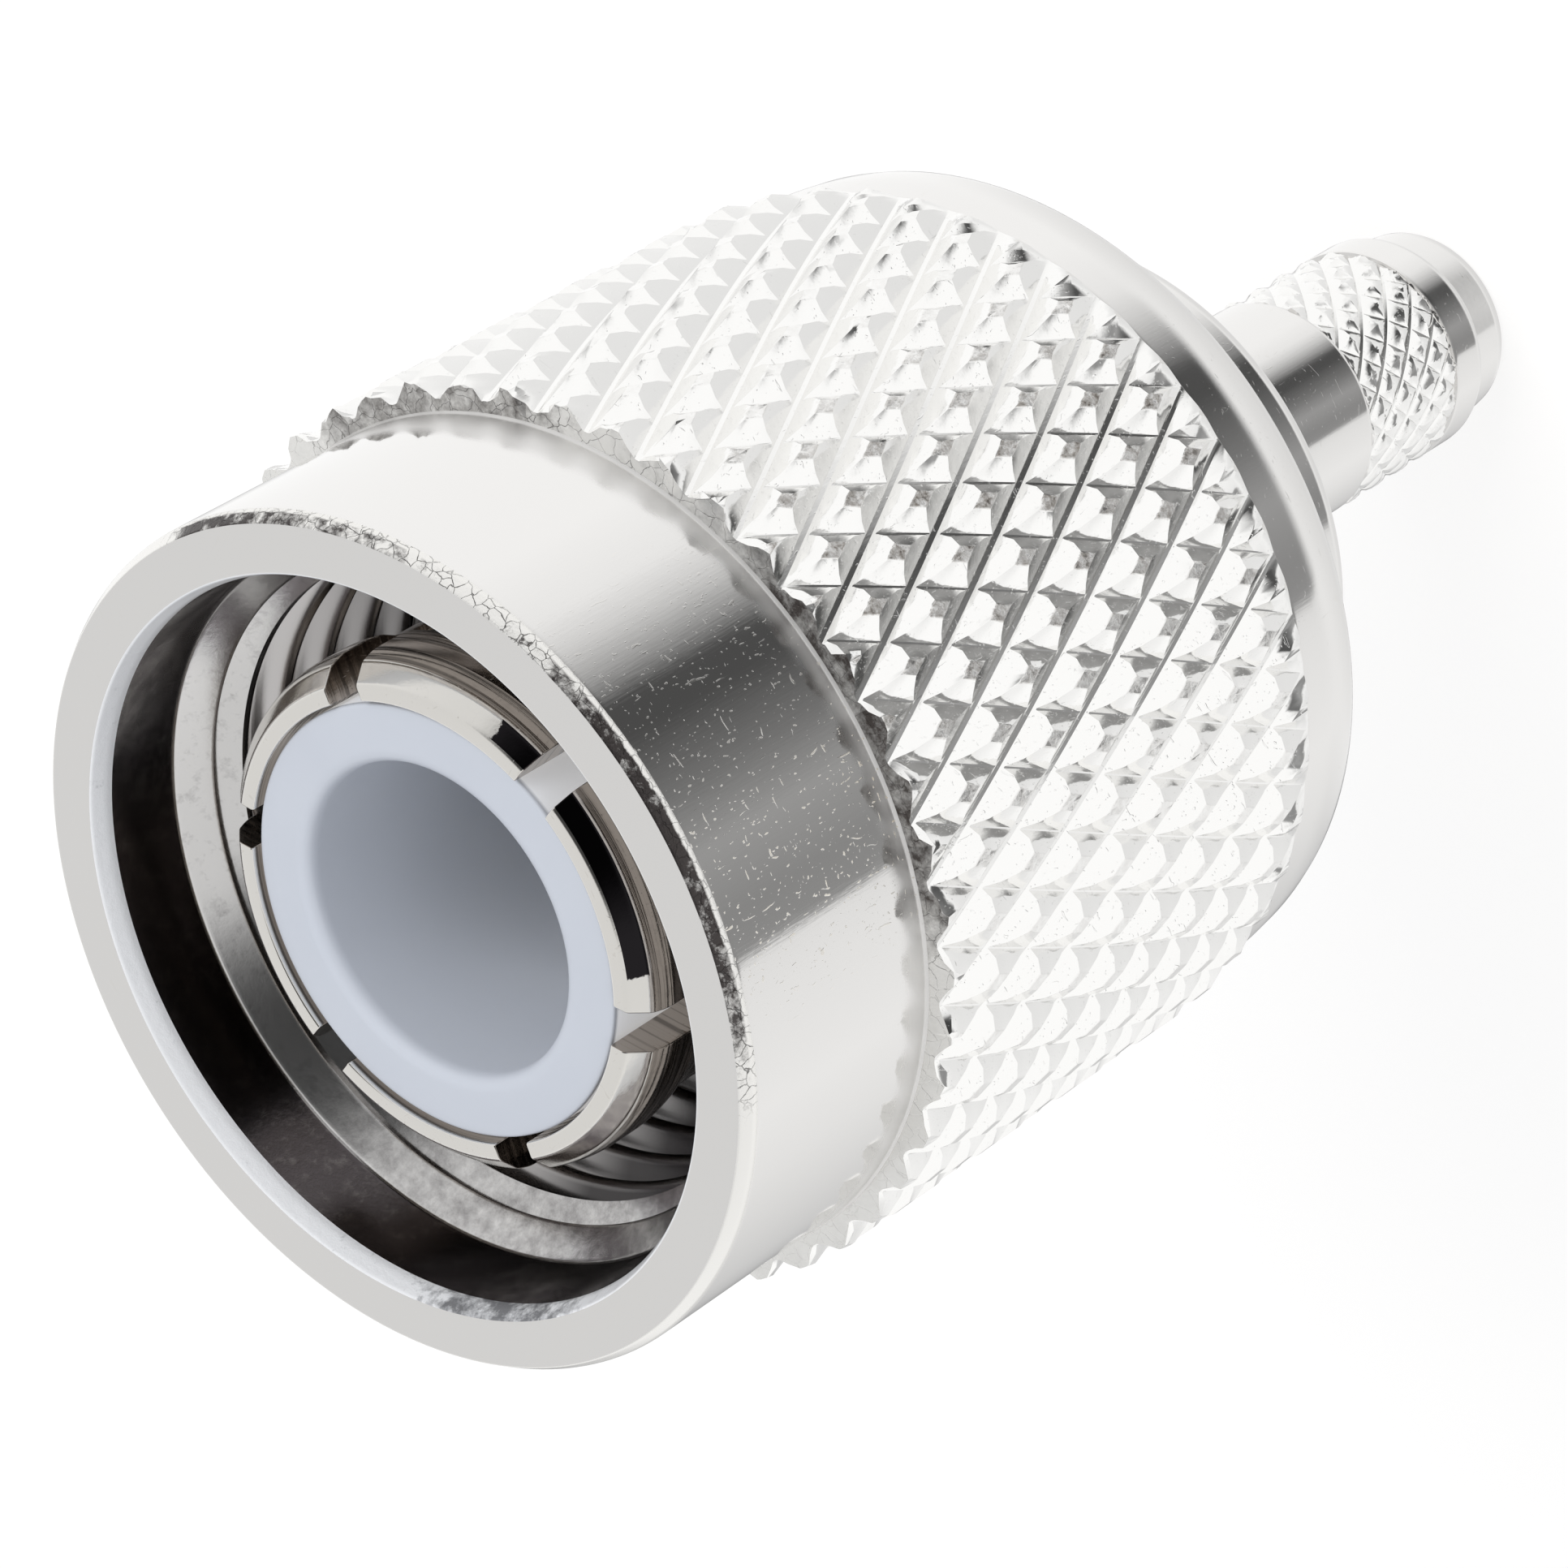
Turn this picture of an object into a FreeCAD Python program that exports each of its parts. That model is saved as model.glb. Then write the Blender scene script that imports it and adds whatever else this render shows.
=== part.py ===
"""Threaded coaxial plug: a knurled coupling nut that turns on a turned body with a slotted outer
contact, two insulators, a centre contact, a sealing gasket, a split retaining ring and a crimp stem.

The plug stands on the end of its stem, nose up. The origin is the centre of the stem's end and +Z
runs along the axis towards the nose. Depths are measured down from the nut's front face.
"""
import FreeCAD, Part
import Sketcher
import math
import os

os.makedirs("parts", exist_ok=True)

# Driving dimensions in millimetres and degrees.
SIZES = {
    "overall_length": 26.2,
    "press_gap": 0.0,
    "running_clearance": 0.10,
    "side_clearance": 0.05,
    # Walls and steps, from the outer contact's bore outwards
    "contact_bore_radius": 3.46,
    "contact_wall": 0.54,
    "hub_wall": 0.85,
    "assembly_clearance": 0.25,
    "thread_height": 0.50,
    "mouth_step": 0.70,
    "mouth_wall": 0.90,
    "knurl_step": 0.25,
    "knurl_rise": 0.26,
    "knurl_bite": 0.40,
    "collar_drop": 0.04,
    "collar_taper": 0.11,
    # Coupling nut, along the axis
    "nut_length": 14.5,
    "nose_length": 3.99,
    "collar_length": 1.555,
    "collar_overlap": 0.40,
    "bevel_width": 0.16,
    "bevel_length": 0.24,
    "nut_edge_bevel": 0.20,
    "mouth_depth": 1.62,
    "lead_in_length": 0.60,
    "thread_length": 4.98,
    "relief_length": 1.20,
    # Diamond knurl of the nut
    "knurl_count": 46,
    "knurl_rows": 9,
    # Plug body
    "hub_front_depth": 6.90,
    "hub_standout": 2.50,
    "hub_edge_bevel": 0.22,
    "socket_length": 3.10,
    "bead_step": 0.80,
    "bead_socket_length": 3.40,
    "stem_radius": 1.90,
    "stem_wall": 0.60,
    "stem_root_step": 0.80,
    "stem_root_length": 0.60,
    "stem_tip_step": 0.20,
    "stem_tip_length": 1.00,
    "stem_tip_bevel": 0.12,
    # Diamond knurl of the stem
    "grip_count": 18,
    "grip_rows": 7,
    "grip_setback": 0.80,
    "grip_length": 2.45,
    "grip_sink": 0.06,
    "grip_rise": 0.10,
    "grip_bite": 0.24,
    # Retaining ring and its grooves
    "ring_setback": 3.00,
    "ring_thickness": 0.80,
    "ring_bite": 0.45,
    "ring_stand": 0.50,
    "ring_gap_angle": 16.0,
    # Slotted outer contact
    "contact_tip_depth": 0.97,
    "contact_face_width": 0.24,
    "contact_bevel_length": 0.27,
    "contact_bead_wall": 0.60,
    "contact_bead_bevel": 0.08,
    "contact_bead_setback": 0.48,
    "contact_bead_length": 0.65,
    "contact_bead_fall": 0.60,
    "contact_neck_wall": 0.40,
    "contact_base_rise": 0.90,
    "contact_base_bevel": 0.14,
    "slot_count": 6,
    "slot_width": 0.67,
    "slot_root_gap": 0.20,
    "slot_phase": -17.75,
    # Front insulator
    "insulator_recess": 0.11,
    "insulator_gap": 0.08,
    "insulator_wall": 0.92,
    "insulator_step_rise": 0.40,
    "insulator_seat_length": 2.30,
    "cup_floor_thickness": 2.90,
    # Centre contact
    "pin_radius": 0.675,
    "pin_tip_radius": 0.30,
    "pin_reach": 2.20,
    "pin_taper_length": 0.70,
    "pin_shoulder_step": 0.425,
    "pin_shoulder_length": 1.00,
    "pot_step": 0.275,
    "pot_wall": 0.40,
    "pot_recess": 0.20,
    "pot_bore_length": 2.60,
    # Gasket
    "gasket_thickness": 0.85,
    "gasket_clearance": 0.02,
    "gasket_inset": 0.07,
    "gasket_bevel": 0.18,
}

# Sizes that follow from the driving ones, so that pieces that fit together keep fitting.
FITTED = {
    # Radii
    "contact_base_radius": "contact_bore_radius + contact_wall",
    "contact_face_radius": "contact_bore_radius + contact_face_width",
    "contact_bead_radius": "contact_bore_radius + contact_bead_wall",
    "contact_bevel_radius": "contact_bead_radius - contact_bead_bevel",
    "contact_neck_radius": "contact_bore_radius + contact_neck_wall",
    "hub_radius": "contact_base_radius + hub_wall",
    "thread_crest_radius": "hub_radius + assembly_clearance",
    "relief_radius": "thread_crest_radius + thread_height",
    "mouth_radius": "thread_crest_radius + mouth_step",
    "nose_radius": "mouth_radius + mouth_wall",
    "knurl_root_radius": "nose_radius + knurl_step",
    "knurl_crest_radius": "knurl_root_radius + knurl_rise",
    "knurl_core_radius": "nose_radius - knurl_bite",
    "collar_front_radius": "knurl_root_radius - collar_drop",
    "collar_rear_radius": "collar_front_radius - collar_taper",
    "ring_inner_radius": "hub_radius - ring_bite",
    "ring_outer_radius": "hub_radius + ring_stand",
    "bead_radius": "contact_base_radius - bead_step",
    "insulator_radius": "contact_bore_radius - insulator_gap",
    "cup_radius": "insulator_radius - insulator_wall",
    "pin_shoulder_radius": "pin_radius + pin_shoulder_step",
    "pot_radius": "pin_radius + pot_step",
    "pot_bore_radius": "pot_radius - pot_wall",
    "gasket_outer_radius": "hub_radius - gasket_inset",
    "stem_bore_radius": "stem_radius - stem_wall",
    "stem_root_radius": "stem_radius + stem_root_step",
    "stem_tip_radius": "stem_radius - stem_tip_step",
    "grip_root_radius": "stem_radius - grip_sink",
    "grip_crest_radius": "grip_root_radius + grip_rise",
    "grip_core_radius": "grip_root_radius - grip_bite",
    # Depths below the nut's front face
    "knurl_length": "nut_length - nose_length - collar_length",
    "thread_end_depth": "mouth_depth + lead_in_length + thread_length",
    "relief_end_depth": "thread_end_depth + relief_length",
    "ring_depth": "nut_length - ring_setback",
    "hub_rear_depth": "nut_length + hub_standout",
    "socket_depth": "hub_front_depth + socket_length",
    "bead_end_depth": "socket_depth + bead_socket_length",
    "contact_bead_start": "contact_tip_depth + contact_bead_setback",
    "contact_bead_end": "contact_bead_start + contact_bead_length",
    "contact_neck_start": "contact_bead_end + contact_bead_fall",
    "contact_base_depth": "hub_front_depth - contact_base_rise",
    "slot_end_depth": "contact_base_depth - slot_root_gap",
    "insulator_face_depth": "contact_tip_depth + insulator_recess",
    "insulator_step_depth": "contact_base_depth - insulator_step_rise",
    "insulator_end_depth": "hub_front_depth + insulator_seat_length",
    "cup_floor_depth": "insulator_end_depth - cup_floor_thickness",
    "pin_tip_depth": "cup_floor_depth - pin_reach",
    "pot_end_depth": "bead_end_depth - pot_recess",
    # Height above the stem's end
    "grip_start_height": "stem_tip_length + grip_setback",
}

doc = FreeCAD.newDocument("CoaxialPlug")
sheet = doc.addObject("Spreadsheet::Sheet", "Sizes")
formulas = {alias: "=" + formula for alias, formula in FITTED.items()}
for row, (alias, entry) in enumerate({**SIZES, **formulas}.items(), start=1):
    sheet.set(f"A{row}", alias)
    sheet.set(f"B{row}", str(entry))
    sheet.setAlias(f"B{row}", alias)
doc.recompute()


def size(name):
    """The value of one cell of the sheet."""
    return float(sheet.get(name))


class Length:
    """A sum of named sizes, as a number and as the expression that binds to the sheet."""

    def __init__(self, *names):
        self.value = 0.0
        self.expression = ""
        for name in names:
            sign = "-" if name.startswith("-") else "+"
            alias = name.lstrip("-")
            self.value += -size(alias) if sign == "-" else size(alias)
            self.expression += f" {sign} Sizes.{alias}"
        self.expression = self.expression.removeprefix(" + ").strip()


def radius(*names):
    return Length(*names)


def depth(*names):
    """Height of a level that lies the given depth below the nut's front face."""
    down = [name[1:] if name.startswith("-") else "-" + name for name in names]
    return Length("overall_length", *down)


def height(*names):
    """Height above the stem's end."""
    return Length(*names)


def plane_of(body, role):
    """One of the body's own origin planes or axes."""
    return next(item for item in body.Origin.OriginFeatures if item.Role == role)


def hold_point(sketch, line, place):
    """Fix the start of a line at a radius and a height, each bound to the sheet."""
    for kind, axis, length in (("DistanceX", -2, place[0]), ("DistanceY", -1, place[1])):
        if abs(length.value) < 1e-9:
            sketch.addConstraint(Sketcher.Constraint("PointOnObject", line, 1, axis))
            continue
        rule = sketch.addConstraint(Sketcher.Constraint(kind, -1, 1, line, 1, length.value))
        sketch.setExpression(f"Constraints[{rule}]", length.expression)


def turned(label, outline):
    """A body turned about Z from a closed half outline of (radius, height) points."""
    body = doc.addObject("PartDesign::Body", label)
    body.Label = label
    sketch = body.newObject("Sketcher::SketchObject", label + "_profile")
    sketch.AttachmentSupport = [(plane_of(body, "XZ_Plane"), "")]
    sketch.MapMode = "FlatFace"
    corners = [FreeCAD.Vector(r.value, z.value, 0) for r, z in outline]
    for start, end in zip(corners, corners[1:] + corners[:1]):
        sketch.addGeometry(Part.LineSegment(start, end), False)
    count = len(outline)
    for line in range(count):
        joint = Sketcher.Constraint("Coincident", line, 2, (line + 1) % count, 1)
        sketch.addConstraint(joint)
    for line, place in enumerate(outline):
        hold_point(sketch, line, place)
    turning = body.newObject("PartDesign::Revolution", label + "_turning")
    turning.Profile = sketch
    turning.ReferenceAxis = (sketch, ["V_Axis"])
    turning.Angle = 360
    doc.recompute()
    return body


def circles_at(shape, places):
    """Names of the circular edges that lie at the given (radius, height) places."""
    names = []
    for index, edge in enumerate(shape.Edges, start=1):
        curve = edge.Curve
        if not isinstance(curve, Part.Circle):
            continue
        for r, z in places:
            if abs(curve.Radius - r.value) < 1e-4 and abs(curve.Center.z - z.value) < 1e-4:
                names.append(f"Edge{index}")
    return names


def bevelled(body, alias, places):
    """Bevel the circular edges at the given places by a width from the sheet."""
    base = body.Tip
    bevel = body.newObject("PartDesign::Chamfer", body.Label + "_bevel")
    bevel.Base = (base, circles_at(base.Shape, places))
    bevel.Size = size(alias)
    bevel.setExpression("Size", f"Sizes.{alias}")
    doc.recompute()


def knurled_drum(root, crest, count, rows, length, bottom):
    """A drum whose side is a diamond knurl: rows of four-sided points between crossing grooves.

    Grooves cross at the nodes on each level, and a point stands halfway between two nodes.
    """
    step = 2 * math.pi / count
    pitch = length / rows

    def on_drum(distance, turn, level):
        angle = turn * step
        return FreeCAD.Vector(distance * math.cos(angle), distance * math.sin(angle),
                              bottom + level * pitch)

    def node(level, index):
        return on_drum(root, index + (level % 2) / 2, level)

    def point(level, index):
        return on_drum(crest, index + (level % 2) / 2 + 0.5, level)

    faces = []
    for level in range(rows + 1):
        for index in range(count):
            left, right = node(level, index), node(level, index + 1)
            top = point(level, index)
            across = index + level % 2
            if level < rows:
                above = node(level + 1, across)
                faces.append(Part.Face(Part.makePolygon([left, top, above, left])))
                faces.append(Part.Face(Part.makePolygon([top, right, above, top])))
            if level > 0:
                below = node(level - 1, across)
                faces.append(Part.Face(Part.makePolygon([left, below, top, left])))
                faces.append(Part.Face(Part.makePolygon([below, right, top, below])))
    for level in (0, rows):
        rim = []
        for index in range(count):
            rim += [node(level, index), point(level, index)]
        faces.append(Part.Face(Part.makePolygon(rim + rim[:1])))
    shell = Part.makeCompound(faces)
    shell.sewShape()
    drum = Part.Solid(Part.Shell(shell.Faces))
    if drum.Volume < 0:
        drum.reverse()
    return drum


def knurled_band(label, prefix, bottom):
    """The knurl as a ring: the drum without its core. prefix names its sizes in the sheet."""
    length = size(prefix + "_length")
    drum = knurled_drum(size(prefix + "_root_radius"), size(prefix + "_crest_radius"),
                        int(size(prefix + "_count")), int(size(prefix + "_rows")), length, bottom)
    core = Part.makeCylinder(size(prefix + "_core_radius"), length, FreeCAD.Vector(0, 0, bottom))
    band = doc.addObject("Part::Feature", label)
    band.Label = label
    band.Shape = drum.cut(core)
    return band


def joined(label, pieces):
    """One solid from a turned body and the knurled bands that are rolled on it."""
    whole = doc.addObject("Part::MultiFuse", label)
    whole.Label = label
    whole.Shapes = pieces
    whole.Refine = False
    doc.recompute()
    return whole


def coupling_nut():
    """Knurled nut with an internal thread bore, a relief and a groove for the retaining ring."""
    front = depth()
    collar_front = depth("nose_length", "knurl_length", "-collar_overlap")
    hub_bore = radius("hub_radius", "running_clearance")
    groove_floor = radius("ring_outer_radius", "running_clearance")
    groove_front = depth("ring_depth", "-side_clearance")
    groove_rear = depth("ring_depth", "ring_thickness", "side_clearance")
    outline = [
        (radius("mouth_radius"), front),
        (radius("nose_radius", "-bevel_width"), front),
        (radius("nose_radius"), depth("bevel_length")),
        (radius("nose_radius"), collar_front),
        (radius("collar_front_radius"), collar_front),
        (radius("collar_rear_radius"), depth("nut_length")),
        (hub_bore, depth("nut_length")),
        (hub_bore, groove_rear),
        (groove_floor, groove_rear),
        (groove_floor, groove_front),
        (hub_bore, groove_front),
        (hub_bore, depth("relief_end_depth")),
        (radius("relief_radius"), depth("relief_end_depth")),
        (radius("relief_radius"), depth("thread_end_depth")),
        (radius("thread_crest_radius"), depth("thread_end_depth")),
        (radius("thread_crest_radius"), depth("mouth_depth", "lead_in_length")),
        (radius("mouth_radius"), depth("mouth_depth")),
    ]
    turning = turned("nut_turning", outline)
    bevelled(turning, "nut_edge_bevel", [(radius("collar_rear_radius"), depth("nut_length"))])
    band = knurled_band("nut_knurl", "knurl", depth("nose_length", "knurl_length").value)
    return joined("coupling_nut", [turning, band])


def plug_body():
    """Hub with the contact's socket and the ring groove, and the crimp stem behind it."""
    groove_front = depth("ring_depth", "-side_clearance")
    groove_rear = depth("ring_depth", "ring_thickness", "side_clearance")
    groove_floor = radius("ring_inner_radius", "-side_clearance")
    base = height()
    outline = [
        (radius("contact_base_radius", "press_gap"), depth("hub_front_depth")),
        (radius("hub_radius"), depth("hub_front_depth")),
        (radius("hub_radius"), groove_front),
        (groove_floor, groove_front),
        (groove_floor, groove_rear),
        (radius("hub_radius"), groove_rear),
        (radius("hub_radius"), depth("hub_rear_depth")),
        (radius("stem_root_radius"), depth("hub_rear_depth")),
        (radius("stem_radius"), depth("hub_rear_depth", "stem_root_length")),
        (radius("stem_radius"), height("stem_tip_length")),
        (radius("stem_tip_radius"), height("stem_tip_length")),
        (radius("stem_tip_radius"), height("stem_tip_bevel")),
        (radius("stem_tip_radius", "-stem_tip_bevel"), base),
        (radius("stem_bore_radius"), base),
        (radius("stem_bore_radius"), depth("bead_end_depth")),
        (radius("bead_radius", "press_gap"), depth("bead_end_depth")),
        (radius("bead_radius", "press_gap"), depth("socket_depth")),
        (radius("contact_base_radius", "press_gap"), depth("socket_depth")),
    ]
    turning = turned("body_turning", outline)
    bevelled(turning, "hub_edge_bevel", [(radius("hub_radius"), depth("hub_rear_depth"))])
    relieved = doc.addObject("Part::Cut", "body_relieved")
    relieved.Base = turning
    relieved.Tool = grip_relief()
    band = knurled_band("stem_grip", "grip", size("grip_start_height"))
    return joined("plug_body", [relieved, band])


def grip_relief():
    """Ring cut away where the stem's knurl is rolled below the stem's own surface."""
    core = doc.addObject("Part::Cylinder", "grip_core")
    skin = doc.addObject("Part::Cylinder", "grip_skin")
    core.setExpression("Radius", "(Sizes.grip_core_radius + Sizes.grip_root_radius) / 2")
    skin.setExpression("Radius", "Sizes.stem_radius * 2")
    for solid in (core, skin):
        solid.setExpression("Height", "Sizes.grip_length")
        solid.setExpression("Placement.Base.z", "Sizes.grip_start_height")
    ring = doc.addObject("Part::Cut", "grip_relief")
    ring.Base = skin
    ring.Tool = core
    doc.recompute()
    return ring


def outer_contact():
    """Sleeve with a beaded tip, sawn into spring fingers and pressed into the body."""
    tip = depth("contact_tip_depth")
    outline = [
        (radius("contact_bore_radius"), tip),
        (radius("contact_face_radius"), tip),
        (radius("contact_bevel_radius"), depth("contact_tip_depth", "contact_bevel_length")),
        (radius("contact_bead_radius"), depth("contact_bead_start")),
        (radius("contact_bead_radius"), depth("contact_bead_end")),
        (radius("contact_neck_radius"), depth("contact_neck_start")),
        (radius("contact_neck_radius"), depth("contact_base_depth")),
        (radius("contact_base_radius"), depth("contact_base_depth", "contact_base_bevel")),
        (radius("contact_base_radius"), depth("socket_depth")),
        (radius("contact_bore_radius"), depth("socket_depth")),
    ]
    body = turned("outer_contact", outline)
    sketch = body.newObject("Sketcher::SketchObject", "slot_profile")
    sketch.AttachmentSupport = [(plane_of(body, "XZ_Plane"), "")]
    sketch.MapMode = "FlatFace"
    inner = Length("cup_radius")
    outer = Length("nose_radius")
    low = depth("slot_end_depth")
    high = Length("overall_length")
    corners = [(inner, low), (outer, low), (outer, high), (inner, high)]
    places = [FreeCAD.Vector(r.value, z.value, 0) for r, z in corners]
    for start, end in zip(places, places[1:] + places[:1]):
        sketch.addGeometry(Part.LineSegment(start, end), False)
    for line in range(len(corners)):
        sketch.addConstraint(Sketcher.Constraint("Coincident", line, 2, (line + 1) % len(corners), 1))
        hold_point(sketch, line, corners[line])
    slot = body.newObject("PartDesign::Pocket", "slot")
    slot.Profile = sketch
    slot.Midplane = True
    slot.Length = size("slot_width")
    slot.setExpression("Length", "Sizes.slot_width")
    doc.recompute()
    fingers = body.newObject("PartDesign::PolarPattern", "fingers")
    fingers.Originals = [slot]
    fingers.Axis = (plane_of(body, "Z_Axis"), [""])
    fingers.Angle = 360
    fingers.Occurrences = int(size("slot_count"))
    fingers.setExpression("Occurrences", "Sizes.slot_count")
    body.Tip = fingers
    body.Placement = FreeCAD.Placement(FreeCAD.Vector(), FreeCAD.Vector(0, 0, 1), size("slot_phase"))
    body.setExpression("Placement.Rotation.Angle", "Sizes.slot_phase * 1deg")
    doc.recompute()
    return body


def front_insulator():
    """Cup of soft plastic that takes the mating dielectric, with the pin through its floor."""
    outline = [
        (radius("cup_radius"), depth("insulator_face_depth")),
        (radius("insulator_radius"), depth("insulator_face_depth")),
        (radius("insulator_radius"), depth("insulator_step_depth")),
        (radius("contact_bore_radius", "-press_gap"), depth("insulator_step_depth")),
        (radius("contact_bore_radius", "-press_gap"), depth("insulator_end_depth")),
        (radius("pin_radius", "press_gap"), depth("insulator_end_depth")),
        (radius("pin_radius", "press_gap"), depth("cup_floor_depth")),
        (radius("cup_radius"), depth("cup_floor_depth")),
    ]
    return turned("front_insulator", outline)


def rear_insulator():
    """Bead that traps the centre contact's shoulder against the front insulator."""
    outline = [
        (radius("pin_shoulder_radius", "press_gap"), depth("insulator_end_depth")),
        (radius("bead_radius", "-press_gap"), depth("insulator_end_depth")),
        (radius("bead_radius", "-press_gap"), depth("bead_end_depth")),
        (radius("pot_radius", "press_gap"), depth("bead_end_depth")),
        (radius("pot_radius", "press_gap"), depth("insulator_end_depth", "pin_shoulder_length")),
        (radius("pin_shoulder_radius", "press_gap"), depth("insulator_end_depth", "pin_shoulder_length")),
    ]
    return turned("rear_insulator", outline)


def centre_contact():
    """Pin with a tapered tip, a captive shoulder and a hollow pot for the cable's core."""
    pot_floor = Length("overall_length", "-pot_end_depth", "pot_bore_length")
    axis = Length()
    outline = [
        (axis, depth("pin_tip_depth")),
        (radius("pin_tip_radius"), depth("pin_tip_depth")),
        (radius("pin_radius"), depth("pin_tip_depth", "pin_taper_length")),
        (radius("pin_radius"), depth("insulator_end_depth")),
        (radius("pin_shoulder_radius"), depth("insulator_end_depth")),
        (radius("pin_shoulder_radius"), depth("insulator_end_depth", "pin_shoulder_length")),
        (radius("pot_radius"), depth("insulator_end_depth", "pin_shoulder_length")),
        (radius("pot_radius"), depth("pot_end_depth")),
        (radius("pot_bore_radius"), depth("pot_end_depth")),
        (radius("pot_bore_radius"), pot_floor),
        (axis, pot_floor),
    ]
    return turned("centre_contact", outline)


def gasket():
    """Soft sealing ring round the contact's base, in front of the hub."""
    inner = radius("contact_base_radius", "gasket_clearance")
    outer = radius("gasket_outer_radius")
    front = depth("hub_front_depth", "-gasket_thickness")
    rear = depth("hub_front_depth")
    body = turned("gasket", [(inner, front), (outer, front), (outer, rear), (inner, rear)])
    bevelled(body, "gasket_bevel", [(outer, front), (inner, front)])
    return body


def retaining_ring():
    """Split ring that sits in the body's groove and keeps the nut on the hub."""
    inner = radius("ring_inner_radius")
    outer = radius("ring_outer_radius")
    front = depth("ring_depth")
    rear = depth("ring_depth", "ring_thickness")
    body = turned("retaining_ring", [(inner, front), (outer, front), (outer, rear), (inner, rear)])
    body.Tip.setExpression("Angle", "360 - Sizes.ring_gap_angle")
    doc.recompute()
    return body


def check_document():
    """Stop if any object failed or has no valid shape."""
    for item in doc.Objects:
        faults = [state for state in item.State if state in ("Invalid", "Error")]
        if faults:
            raise RuntimeError(f"{item.Label} is {faults}")


def write_out(item):
    shape = item.Shape
    if shape.isNull() or not shape.isValid():
        raise RuntimeError(f"{item.Label} has no valid shape")
    shape.exportStep(f"parts/{item.Label}.step")
    print(item.Label, "solids", len(shape.Solids), "faces", len(shape.Faces), "volume", round(shape.Volume, 3))


pieces = [make() for make in (coupling_nut, plug_body, outer_contact, front_insulator, rear_insulator,
                              centre_contact, gasket, retaining_ring)]
doc.recompute()
check_document()
for piece in pieces:
    write_out(piece)
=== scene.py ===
# %% [markdown]
# # A threaded coaxial plug
#
# The plug is 26 millimetres long: a knurled nut that turns on a slim body, with a ring of spring fingers
# and a white insulator inside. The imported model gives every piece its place. Here the pieces get their
# fine shape and their finish, and stand in a plain white light tent.
#
# Everything is in metres, in the model's own frame: the plug stands on the end of its stem, and its axis
# is the Z axis. Sizes are easier to read in millimetres, so they are written that way and scaled once.

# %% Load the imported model
import bmesh
import bpy
import math
from mathutils import Matrix, Vector


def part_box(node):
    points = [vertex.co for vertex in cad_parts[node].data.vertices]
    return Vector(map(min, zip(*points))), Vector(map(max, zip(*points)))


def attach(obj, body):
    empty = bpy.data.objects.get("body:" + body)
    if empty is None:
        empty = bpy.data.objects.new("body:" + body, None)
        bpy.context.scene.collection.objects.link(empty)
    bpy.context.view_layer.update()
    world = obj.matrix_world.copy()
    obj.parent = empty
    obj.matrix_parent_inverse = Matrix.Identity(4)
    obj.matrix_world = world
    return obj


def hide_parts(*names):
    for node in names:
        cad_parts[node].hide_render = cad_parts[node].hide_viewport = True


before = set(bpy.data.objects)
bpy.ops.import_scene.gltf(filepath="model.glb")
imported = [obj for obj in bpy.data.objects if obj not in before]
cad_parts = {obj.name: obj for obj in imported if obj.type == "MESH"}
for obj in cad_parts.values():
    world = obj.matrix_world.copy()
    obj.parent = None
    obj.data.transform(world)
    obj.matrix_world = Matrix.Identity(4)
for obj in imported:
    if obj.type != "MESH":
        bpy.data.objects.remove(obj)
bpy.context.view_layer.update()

MM = 0.001
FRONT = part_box("coupling_nut")[1].z / MM
NUT_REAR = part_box("coupling_nut")[0].z / MM
print("nut's front face at", round(FRONT, 3), "mm, its rear at", round(NUT_REAR, 3), "mm")

# %% [markdown]
# ## The camera
#
# A small object fills the picture either with a near camera or with a long lens. A long lens keeps
# circles and grooves from bulging, so it suits small hardware. The camera looks down at the plug's nose
# by about 42 degrees, and it is rolled so far that the upright plug seems to lie on its side with its
# nose at the lower left.

# %% Camera
LENS = 144.9
SENSOR = 36.0
VIEW_ELEVATION = math.radians(41.95)
VIEW_ROLL = math.radians(-121.7)
CAMERA_PLACE = Vector((-0.84, -70.78, 81.62)) * MM
IMAGE_SIDE = 1932
AXIS_PIXEL = (959.6, 959.5)
NEAREST = 0.001

camera_data = bpy.data.cameras.new("camera")
camera_data.lens = LENS
camera_data.sensor_width = SENSOR
camera_data.clip_start = NEAREST
camera_data.shift_x = (IMAGE_SIDE / 2 - AXIS_PIXEL[0]) / IMAGE_SIDE
camera_data.shift_y = (AXIS_PIXEL[1] - IMAGE_SIDE / 2) / IMAGE_SIDE
camera = bpy.data.objects.new("camera", camera_data)
pitch_down = Matrix.Rotation(math.pi / 2 - VIEW_ELEVATION, 4, "X")
roll = Matrix.Rotation(VIEW_ROLL, 4, "Z")
camera.matrix_world = Matrix.Translation(CAMERA_PLACE) @ pitch_down @ roll
bpy.context.scene.collection.objects.link(camera)
bpy.context.scene.camera = camera
print("camera at", [round(v / MM, 1) for v in CAMERA_PLACE], "mm, lens", LENS, "mm")

# %% [markdown]
# ## Writing node trees in a few lines
#
# Shader trees and geometry trees are built the same way: add a node, set its options, then fill its
# sockets with values or with the outputs of other nodes. A few small helpers keep that short. Sockets
# that share a name, as on the Math node, are filled by number.


# %% Helpers for node trees
def add(tree, kind, inputs=None, **options):
    """Add a node, set its options and fill its inputs with values or other nodes' outputs."""
    node = tree.nodes.new(kind)
    for name, value in options.items():
        setattr(node, name, value)
    for key, value in (inputs or {}).items():
        if isinstance(value, bpy.types.NodeSocket):
            tree.links.new(value, node.inputs[key])
        else:
            node.inputs[key].default_value = value
    return node


def calc(tree, operation, *values):
    """The output of a math node, in either kind of tree."""
    return add(tree, "ShaderNodeMath", dict(enumerate(values)), operation=operation).outputs[0]


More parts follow.
